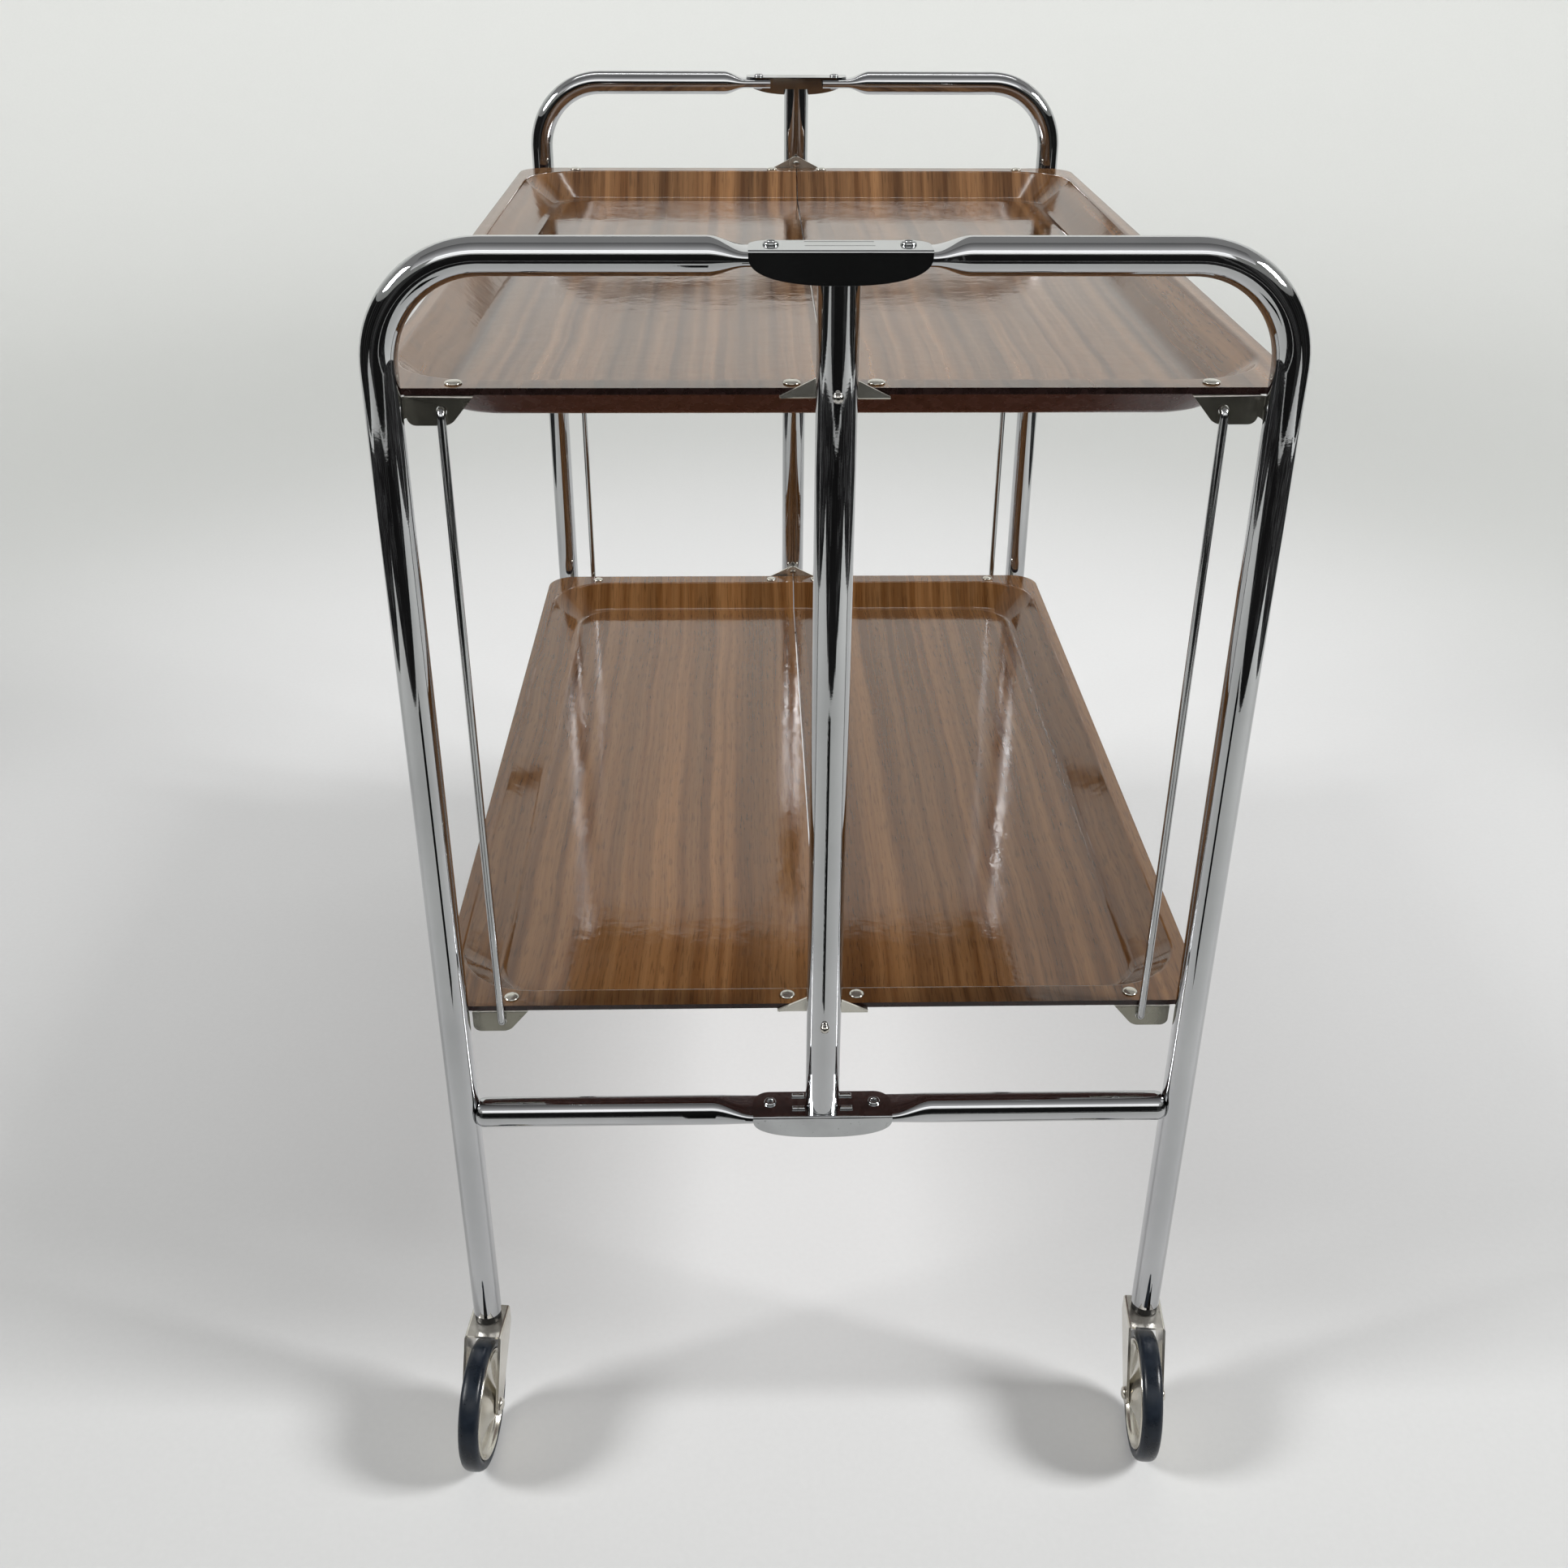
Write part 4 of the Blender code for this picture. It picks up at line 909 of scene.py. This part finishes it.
def corner_plate(name, winged):
    """The front one of a right half, at the upper tray's height."""
    high = RIM_Z["upper"] - FLANGE_UNDER_RIM
    low = RIM_Z["upper"] - CORNER_FOOT
    length = CORNER_OUTER_X - CORNER_INNER_X
    middle_x = (CORNER_INNER_X + CORNER_OUTER_X) / 2
    face_y = -PLATE_FACE_Y + SHEET / 2
    piece = block(name, (length, SHEET, high - low), (middle_x, face_y, (high + low) / 2))
    reopen(piece)
    choose_all()
    bpy.ops.mesh.bisect(
        plane_co=(CORNER_INNER_X + CORNER_NOSE, 0.0, high),
        plane_no=(low - high, 0.0, -CORNER_CUT),
        clear_outer=True,
        use_fill=True,
    )
    close_up(piece)
    round_off(piece, lambda co: co.x > CORNER_OUTER_X - NEAR and co.z < low + NEAR, CORNER_ROUND, 8)
    round_off(piece, lambda co: co.x < middle_x and co.z < low + NEAR, CORNER_INNER_ROUND, 6)
    if winged:
        join_on(piece, corner_wing(face_y, high - SHEET / 2, low + CORNER_ROUND))
    depth = PLATE_FACE_Y - FLANGE_BACK_Y
    flange_place = (middle_x + SHEET / 2, -PLATE_FACE_Y + depth / 2, high - SHEET / 2)
    join_on(piece, block("flange", (length - SHEET, depth, SHEET), flange_place))
    drilled(piece, (ROD_X, face_y, RIM_Z["upper"] - ROD_DROP), (0.0, PLATE_DRILL, 0.0), ROD_HOLE_R)
    round_off(
        piece, lambda co: co.z > high - NEAR and abs(co.y + PLATE_FACE_Y) < NEAR, CORNER_BEND_R, 4
    )
    return smooth(soften(piece, CORNER_SOFT))


dull_nickel = plated(
    "dull_nickelled_sheet", (0.28, 0.27, 0.225), (0.22, 0.21, 0.175), (0.18, 0.30), 60.0,
    stain=(0.03, 0.025, 0.02), stain_from=0.66, metallic=0.92,
)
for level in RIM_Z:
    front = corner_plate("corner", winged=level == "upper")
    back = copied(front, "corner_back", mirrored="y")
    on_tray_halves(front, back, "corner_plate", dull_nickel, "corner_bracket", (level,))
rim_rivets("outer_rivet", OUTER_HOLE_X, "corner_bracket")


# Tray pins, two at each end: turned steel pins through both centre brackets and the post, with a
# spacer collar between them, a low head inside and a polished ball head outside.
PIN_R = 0.0019
BALL_R = 0.0025
BALL_NECK_Y = 0.3253
BALL_CLOSE = math.radians(84)
BALL_STEPS = 12
PIN_SHAFT = (
    (0.0006, 0.3003), (0.0017, 0.3003), (0.0023, 0.3006), (0.0025, 0.3010), (0.0025, 0.3012),
    (PIN_R, 0.3012), (PIN_R, 0.3045), (0.0036, 0.3045), (0.0038, 0.3047), (0.0038, 0.3071),
    (0.0036, 0.3073), (PIN_R, 0.3073),
)
neck_turn = math.acos(PIN_R / BALL_R)
pin_profile = list(PIN_SHAFT)
for step in range(BALL_STEPS + 1):
    turn = (BALL_CLOSE + neck_turn) * step / BALL_STEPS - neck_turn
    rise = BALL_R * math.sin(neck_turn) + BALL_R * math.sin(turn)
    pin_profile.append((BALL_R * math.cos(turn), BALL_NECK_Y + rise))
pin_steel = plated(
    "pin_steel", (0.62, 0.61, 0.58), (0.50, 0.475, 0.43), (0.09, 0.18), 120.0,
    stain=(0.12, 0.08, 0.05), stain_from=0.66,
)
for level, rim_z in RIM_Z.items():
    pin = turned_piece("pin", pin_profile, 32, (0.0, 0.0, rim_z + PIN_RISE), FACING_Y)
    for end, piece in both_ends(smooth(pin), f"{level}_ball_pin").items():
        finished(piece, pin_steel, "frame", "nickel_steel", f"{end}_{level}_tray_pin")


# Tie rods, one at each corner: 4 mm chromed steel rod that makes the lower tray half follow the
# upper one, both its ends bent at right angles and hooked through the corner brackets.
ROD_R = 0.002
ROD_Y = 0.3035
ROD_BEND_R = 0.0028
ROD_BEND_STEPS = 8
ROD_TIP_Y = 0.2950
ROD_SOFT = 0.0004
ROD_TOP_Z = RIM_Z["upper"] - ROD_DROP
ROD_LOW_Z = RIM_Z["lower"] - ROD_DROP
rod = draw_disc("tie_rod_bar", ROD_R, 28, (ROD_X, -ROD_TIP_Y, ROD_TOP_Z), FACING_Y)
bend_y = ROD_BEND_R - ROD_Y
draw_out(y=ROD_TIP_Y + bend_y)
bend((ROD_X, bend_y, ROD_TOP_Z - ROD_BEND_R), (-1, 0, 0), ROD_BEND_STEPS)
draw_out(z=ROD_LOW_Z - ROD_TOP_Z + 2 * ROD_BEND_R)
bend((ROD_X, bend_y, ROD_LOW_Z + ROD_BEND_R), (-1, 0, 0), ROD_BEND_STEPS)
draw_out(y=-bend_y - ROD_TIP_Y)
close_up(rod)
smooth(soften(rod, ROD_SOFT, 60.0))
rod_chrome = plated("rod_chrome", (0.50, 0.505, 0.51), (0.40, 0.405, 0.41), (0.07, 0.14), 30.0)
for corner, piece in around(rod, "tie_rod_bar").items():
    finished(piece, rod_chrome, f"{corner}_rod", "chrome_rod", f"{corner}_tie_rod")


# Casters, one in each leg: a black plastic sleeve in the tube, a nickelled fork pressed from
# 1.5 mm sheet with its stem, and a dished sheet wheel with a rubber tyre on a riveted axle.
TRAIL = 0.030
TOE = math.radians(-5)
AXLE_Z = 0.0370383
AXLE_HOLE_R = 0.0023
FORK_HALF = 0.0106
FORK_SHEET = 0.0015
FORK_FRONT = 0.0155
FORK_BACK = 0.009
FORK_SHOULDER = 0.011
FORK_SHOULDER_R = 0.0014
FORK_SOFT = 0.00025
FORK_DRILL = 0.02
EYE_R = 0.0065
SLEEVE_GAP = 0.0003
BOSS_RISE = 0.002
SKIRT_GAP = 0.0005
SLEEVE_BORE_R = 0.0043
STEM_R = 0.0040
sleeve_low, sleeve_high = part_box("front_right_caster_sleeve")
FORK_TOP = sleeve_low.z - SLEEVE_GAP - BOSS_RISE


def caster_copies(piece, label):
    """The same caster piece, toed in, under all four legs: corner name -> piece."""
    set_down(piece, (FOOT_X, -FRAME_Y, 0.0), (0.0, 0.0, TOE))
    piece.name = f"front_right_{label}"
    left = copied(piece, f"front_left_{label}", across=-2 * FOOT_X)
    return {
        "front_right": piece,
        "front_left": left,
        "rear_left": copied(piece, f"rear_left_{label}", turned=True),
        "rear_right": copied(left, f"rear_right_{label}", turned=True),
    }


def plain(name, light, dark, gloss, scale, relief, specular):
    """A plastic or rubber surface: two near tones, uneven gloss, and a fine moulded skin."""
    material, tree, place = new_finish(name)
    cloud = noise(tree, place, scale, 6.0, 0.6)
    smoothest, roughest = gloss
    return dressed(material, {
        "Base Color": ramp(tree, cloud, (0.35, dark), (0.7, light)),
        "Roughness": ramp(tree, cloud, (0.35, smoothest), (0.7, roughest)),
        "Specular IOR Level": specular,
        "Normal": bump(tree, noise(tree, place, scale * 12, 3.0), relief, 0.0004),
    })


black_plastic = plain("sleeve_plastic", 0.010, 0.005, (0.34, 0.5), 120.0, 0.05, 0.2)
rubber = plain("tyre_rubber", (0.012, 0.017, 0.026), (0.005, 0.008, 0.013), (0.24, 0.40), 90.0, 0.08, 0.28)
disc_nickel = plated(
    "wheel_nickel", (0.66, 0.635, 0.565), (0.52, 0.485, 0.41), (0.14, 0.26), 60.0,
    stain=(0.20, 0.14, 0.08), stain_from=0.66, metallic=0.9,
)
fork_nickel = plated(
    "fork_nickel", (0.68, 0.655, 0.60), (0.54, 0.505, 0.44), (0.15, 0.28), 60.0,
    stain=(0.18, 0.11, 0.06), stain_from=0.66, metallic=0.85,
)

low, high = sleeve_low.z, sleeve_high.z
skirt_low = FORK_TOP + SKIRT_GAP
sleeve = turned_piece("sleeve", (
    (SLEEVE_BORE_R, low), (0.0056, low), (0.0056, skirt_low), (0.0072, skirt_low),
    (0.0075, skirt_low + 0.0004), (0.0073, low + 0.0032), (0.0070, low + 0.0035),
    (0.0065, low + 0.0035), (0.0065, high - 0.0005), (0.0060, high), (SLEEVE_BORE_R, high),
    (SLEEVE_BORE_R, low),
), 40)
for corner, piece in caster_copies(smooth(sleeve), "leg_sleeve").items():
    finished(piece, black_plastic, "frame", "black_plastic", f"{corner}_caster_sleeve")

fork_length = FORK_FRONT + FORK_BACK
fork_y = (FORK_BACK - FORK_FRONT) / 2
fork = block("fork", (2 * FORK_HALF, fork_length, FORK_SHEET), (0.0, fork_y, FORK_TOP - FORK_SHEET / 2))
for side in (-1, 1):
    arm = draw_disc("arm", EYE_R, 40, (side * FORK_HALF, -TRAIL, AXLE_Z), FACING_X)
    draw_out(x=-side * FORK_SHEET)
    bpy.ops.object.mode_set(mode="OBJECT")
    cheek_place = (side * (FORK_HALF - FORK_SHEET / 2), fork_y, FORK_TOP - FORK_SHOULDER / 2)
    wrapped(arm, block("cheek", (FORK_SHEET, fork_length, FORK_SHOULDER), cheek_place))
    join_on(fork, arm)
stem = turned_piece("stem", (
    (0.0052, FORK_TOP - 0.0005), (0.0052, FORK_TOP + 0.0017), (0.0049, FORK_TOP + BOSS_RISE),
    (STEM_R, FORK_TOP + BOSS_RISE), (STEM_R, FORK_TOP + 0.0320), (0.0030, FORK_TOP + 0.0330),
), 40)
join_on(fork, stem)
round_off(
    fork,
    lambda co: abs(co.z - FORK_TOP) < NEAR and abs(abs(co.x) - FORK_HALF) < NEAR,
    FORK_SHOULDER_R,
    4,
)
drilled(fork, (0.0, -TRAIL, AXLE_Z), (FORK_DRILL, 0.0, 0.0), AXLE_HOLE_R)
smooth(soften(fork, FORK_SOFT))
for corner, piece in caster_copies(fork, "pressed_fork").items():
    finished(even(piece), fork_nickel, f"{corner}_fork", "nickel_steel", f"{corner}_caster_fork")


def wheel_piece(name, side_profile, sides):
    """Turn a wheel piece with two like sides, its bore or bead open, about the axle."""
    rings = list(side_profile) + [(radius, -height) for radius, height in side_profile[::-1]]
    rings.append(rings[0])
    return turned_piece(name, rings, sides, (0.0, -TRAIL, AXLE_Z), FACING_X)


tyre = wheel_piece("tyre", (
    (0.0310, 0.0046), (0.0314, 0.0051), (0.0322, 0.0055), (0.0334, 0.00575), (0.0346, 0.0056),
    (0.0356, 0.0051), (0.0364, 0.0041), (0.03685, 0.0028), (0.03700, 0.0014), (0.03702, 0.0004),
), 96)
for corner, piece in caster_copies(smooth(tyre, 50.0), "rubber_tyre").items():
    finished(piece, rubber, f"{corner}_wheel", "black_rubber", f"{corner}_tyre")
disc = wheel_piece("disc", (
    (0.0023, 0.0087), (0.0052, 0.0087), (0.0060, 0.0085), (0.0072, 0.0078), (0.0090, 0.0066),
    (0.0112, 0.0053), (0.0138, 0.0041), (0.0168, 0.0031), (0.0200, 0.0024), (0.0230, 0.0020),
    (0.0252, 0.0020), (0.0268, 0.0024), (0.0279, 0.0031), (0.0286, 0.0044), (0.0291, 0.0054),
    (0.0297, 0.0060), (0.0303, 0.0059), (0.0308, 0.0052), (0.0309, 0.0040),
), 80)
for corner, piece in caster_copies(smooth(disc, 50.0), "wheel_dish").items():
    finished(piece, disc_nickel, f"{corner}_wheel", "nickel_steel", f"{corner}_wheel_disc")
half_axle = [
    (0.0020, 0.0109), (0.0036, 0.0109), (0.0038, 0.0111), (0.0037, 0.0115), (0.0031, 0.0121),
    (0.0022, 0.0125), (0.0010, 0.01268), (0.0003, 0.0127),
]
rings = [(radius, -height) for radius, height in half_axle[::-1]] + half_axle
axle = turned_piece("axle", rings, 32, (0.0, -TRAIL, AXLE_Z), FACING_X)
for corner, piece in caster_copies(smooth(axle), "axle_rivet").items():
    finished(piece, fork_nickel, f"{corner}_wheel", "nickel_steel", f"{corner}_caster_axle")


# Floor, and the wall that it curves up into all round, of one pale matt sheet.
# Soft lamps hang above it. The dark boards stand for the unlit room in front of the sheet,
# and are only seen as reflections in the chrome.
PAPER_TONE = 0.71
FLOOR_R = 0.5
FLOOR_SWEEP = ((2.4, 0.0), (2.7, 0.04), (2.95, 0.15), (3.15, 0.32), (3.3, 0.6), (3.4, 1.0), (3.4, 3.0))
# Centre and reach of the painted shade ring on the paper.
SHADE_RING_CENTRE = (0.0, 0.45, 0.0)
SHADE_RING_REACH = 3.5
BLACK = 0.012
FAINT = 0.02
BOARD_Z = 0.66
FLOOR_BOARD_Z = 0.003


def paper(name, tone):
    """Matt paper with a faint tooth, and painted shade that makes it a little darker in a wide ring round the
    object.
    """
    material, tree, place = new_finish(name)
    tooth = ramp(tree, noise(tree, place, 260.0, 4.0), (0.3, tone * 0.98), (0.7, tone))
    away = add_node(tree, "VectorMath", {0: place, 1: SHADE_RING_CENTRE}, operation="DISTANCE")
    share = add_node(tree, "MapRange", {"Value": away.outputs["Value"], "From Max": SHADE_RING_REACH})
    # The ring is painted shade: full tone close round the object, darker farther out, and lighter again up
    # the far wall.
    ring = ramp(
        tree, share.outputs["Result"], (0.10, 1.0), (0.22, 0.93), (0.36, (0.69, 0.70, 0.68)),
        (0.55, (0.79, 0.80, 0.78)), (0.80, (0.965, 0.975, 0.95)),
    )
    ring.node.color_ramp.interpolation = "B_SPLINE"
    colour = mixed(tree, tooth, ring)
    return dressed(material, {"Base Color": colour, "Roughness": 0.7, "Specular IOR Level": 0.15})


def dark_cloth(name, folds):
    """Black cloth; folds is how light its lightest folds are."""
    material, tree, place = new_finish(name)
    hang = add_node(tree, "Mapping", {"Vector": place, "Scale": (7.0, 7.0, 0.2)}).outputs["Vector"]
    colour = ramp(
        tree, noise(tree, hang, 1.0, 3.0),
        (0.52, BLACK), (0.57, folds), (0.60, FAINT), (0.66, folds * 0.5), (0.70, FAINT),
    )
    return dressed(material, {"Base Color": colour, "Roughness": 1.0, "Specular IOR Level": 0.0})


def window_glow(name):
    """The window's soft glow on the ceiling, fading inwards."""
    material, tree, place = new_finish(name)
    split = add_node(tree, "SeparateXYZ", {"Vector": place})
    inputs = {"Value": split.outputs["Y"], "From Min": -2.25, "From Max": -0.35}
    share = add_node(tree, "MapRange", inputs).outputs["Result"]
    fade = ramp(tree, share, (0.0, 1.1), (0.2, 0.6), (0.55, 0.28), (1.0, 0.10))
    return dressed(material, {
        "Base Color": shade(0.02),
        "Specular IOR Level": 0.0,
        "Emission Color": fade,
        "Emission Strength": 1.0,
    })


def only_reflected(piece, material, lights_diffuse=False):
    """Keep a stage piece out of sight, except as a reflection."""
    piece.data.materials.append(material)
    piece.visible_camera = False
    piece.visible_diffuse = lights_diffuse
    piece.visible_shadow = False
    piece.visible_transmission = False


def soft_lamp(name, place, aim, size, power):
    light = bpy.data.lights.new(name, "AREA")
    light.shape = "RECTANGLE"
    light.size, light.size_y = size
    light.energy = power
    lamp = bpy.data.objects.new(name, light)
    bpy.context.scene.collection.objects.link(lamp)
    lamp.location = place
    lamp.rotation_euler = (Vector(aim) - Vector(place)).to_track_quat("-Z", "Y").to_euler()


sheet = draw_disc("paper_floor", FLOOR_R, 128, ORIGIN)
radius, height = FLOOR_R, 0.0
for new_radius, new_height in FLOOR_SWEEP:
    chosen_verts(sheet, lambda co: abs(co.xy.length - radius) < 1e-3 and abs(co.z - height) < 1e-3)
    bpy.ops.mesh.select_mode(type="EDGE")
    bpy.ops.mesh.extrude_edges_move(TRANSFORM_OT_translate={"value": (0, 0, new_height - height)})
    resize((new_radius / radius, new_radius / radius, 1), (0, 0, new_height))
    radius, height = new_radius, new_height
    bpy.ops.mesh.select_mode(type="VERT")
bpy.ops.object.mode_set(mode="OBJECT")
smooth(sheet, 60.0)
sheet.data.materials.append(paper("paper", PAPER_TONE))

folded_cloth = dark_cloth("folded_cloth", 0.09)
flat_cloth = dark_cloth("flat_cloth", 0.014)
for name, size, centre, cloth in (
    ("left_front_board", (1.80, 0.02, 1.25), (-1.30, -2.2, BOARD_Z), folded_cloth),
    ("middle_front_board", (0.80, 0.02, 1.25), (0.0, -2.2, BOARD_Z), flat_cloth),
    ("right_front_board", (1.80, 0.02, 1.25), (1.30, -2.2, BOARD_Z), folded_cloth),
    ("left_board", (0.02, 3.1, 1.25), (-2.2, -0.65, BOARD_Z), folded_cloth),
    ("right_board", (0.02, 3.1, 1.25), (2.2, -0.65, BOARD_Z), folded_cloth),
    ("left_front_floor_board", (1.80, 0.9, 0.002), (-1.30, -1.75, FLOOR_BOARD_Z), folded_cloth),
    ("middle_front_floor_board", (0.80, 0.9, 0.002), (0.0, -1.75, FLOOR_BOARD_Z), flat_cloth),
    ("right_front_floor_board", (1.80, 0.9, 0.002), (1.30, -1.75, FLOOR_BOARD_Z), folded_cloth),
    ("left_floor_board", (0.9, 2.2, 0.002), (-1.75, -0.2, FLOOR_BOARD_Z), folded_cloth),
    ("right_floor_board", (0.9, 2.2, 0.002), (1.75, -0.2, FLOOR_BOARD_Z), folded_cloth),
    ("stand_board", (0.11, 0.02, 0.26), (-0.045, -0.735, 0.13), flat_cloth),
):
    only_reflected(block(name, size, centre), cloth, lights_diffuse="floor" not in name)
glow = set_down(block("window_glow", (4.4, 2.05, 0.01)), (0.0, -1.3, 2.62), (0.43, 0.0, 0.0))
only_reflected(glow, window_glow("window_glow"))

soft_lamp("window_lamp", (0.0, -2.15, 1.85), (0.0, -0.3, 0.65), (2.6, 0.65), 7.0)
soft_lamp("left_lamp", (-2.35, -0.75, 2.0), ORIGIN, (0.75, 0.75), 60.0)
soft_lamp("right_lamp", (2.35, -0.75, 2.0), ORIGIN, (0.75, 0.75), 84.0)
soft_lamp("wall_lamp", (0.0, 0.7, 3.0), (0.0, 3.3, 2.2), (2.8, 0.5), 70.0)
world = bpy.data.worlds.new("room")
world.use_nodes = True
room_tree = world.node_tree
ray = add_node(room_tree, "LightPath")
seen = ray.outputs["Is Camera Ray"]
for other in ("Is Glossy Ray", "Is Transmission Ray"):
    seen = add_node(room_tree, "Math", {0: seen, 1: ray.outputs[other]}, operation="MAXIMUM").outputs["Value"]
strength = add_node(room_tree, "MapRange", {"Value": seen, "To Min": 0.02, "To Max": 0.30})
feed(room_tree, room_tree.nodes["Background"], {
    "Color": (1.0, 1.0, 0.985, 1.0),
    "Strength": strength.outputs["Result"],
})
bpy.context.scene.world = world


# Camera above the front handle, a little to the left, looking down along the trays, with the
# yaw, pitch, roll, place and focal length that the photograph was taken with.
YAW = 0.023988
PITCH = 0.510198
ROLL = 0.005402
CAMERA_PLACE = (-0.0378, -0.9967, 0.8128)
SENSOR_MM = 36.0
LENS_MM = 37.303
ahead = Vector((math.sin(YAW) * math.cos(PITCH), math.cos(YAW) * math.cos(PITCH), -math.sin(PITCH)))
level_right = Vector((math.cos(YAW), -math.sin(YAW), 0.0))
level_up = level_right.cross(ahead)
right = level_right * math.cos(ROLL) + level_up * math.sin(ROLL)
up = level_up * math.cos(ROLL) - level_right * math.sin(ROLL)
camera = bpy.data.objects.new("camera", bpy.data.cameras.new("camera"))
bpy.context.scene.collection.objects.link(camera)
camera.data.sensor_width = SENSOR_MM
camera.data.lens = LENS_MM
camera.matrix_world = Matrix.Translation(CAMERA_PLACE) @ Matrix((right, up, -ahead)).transposed().to_4x4()
bpy.context.scene.camera = camera
bpy.context.scene.view_settings.view_transform = "Standard"
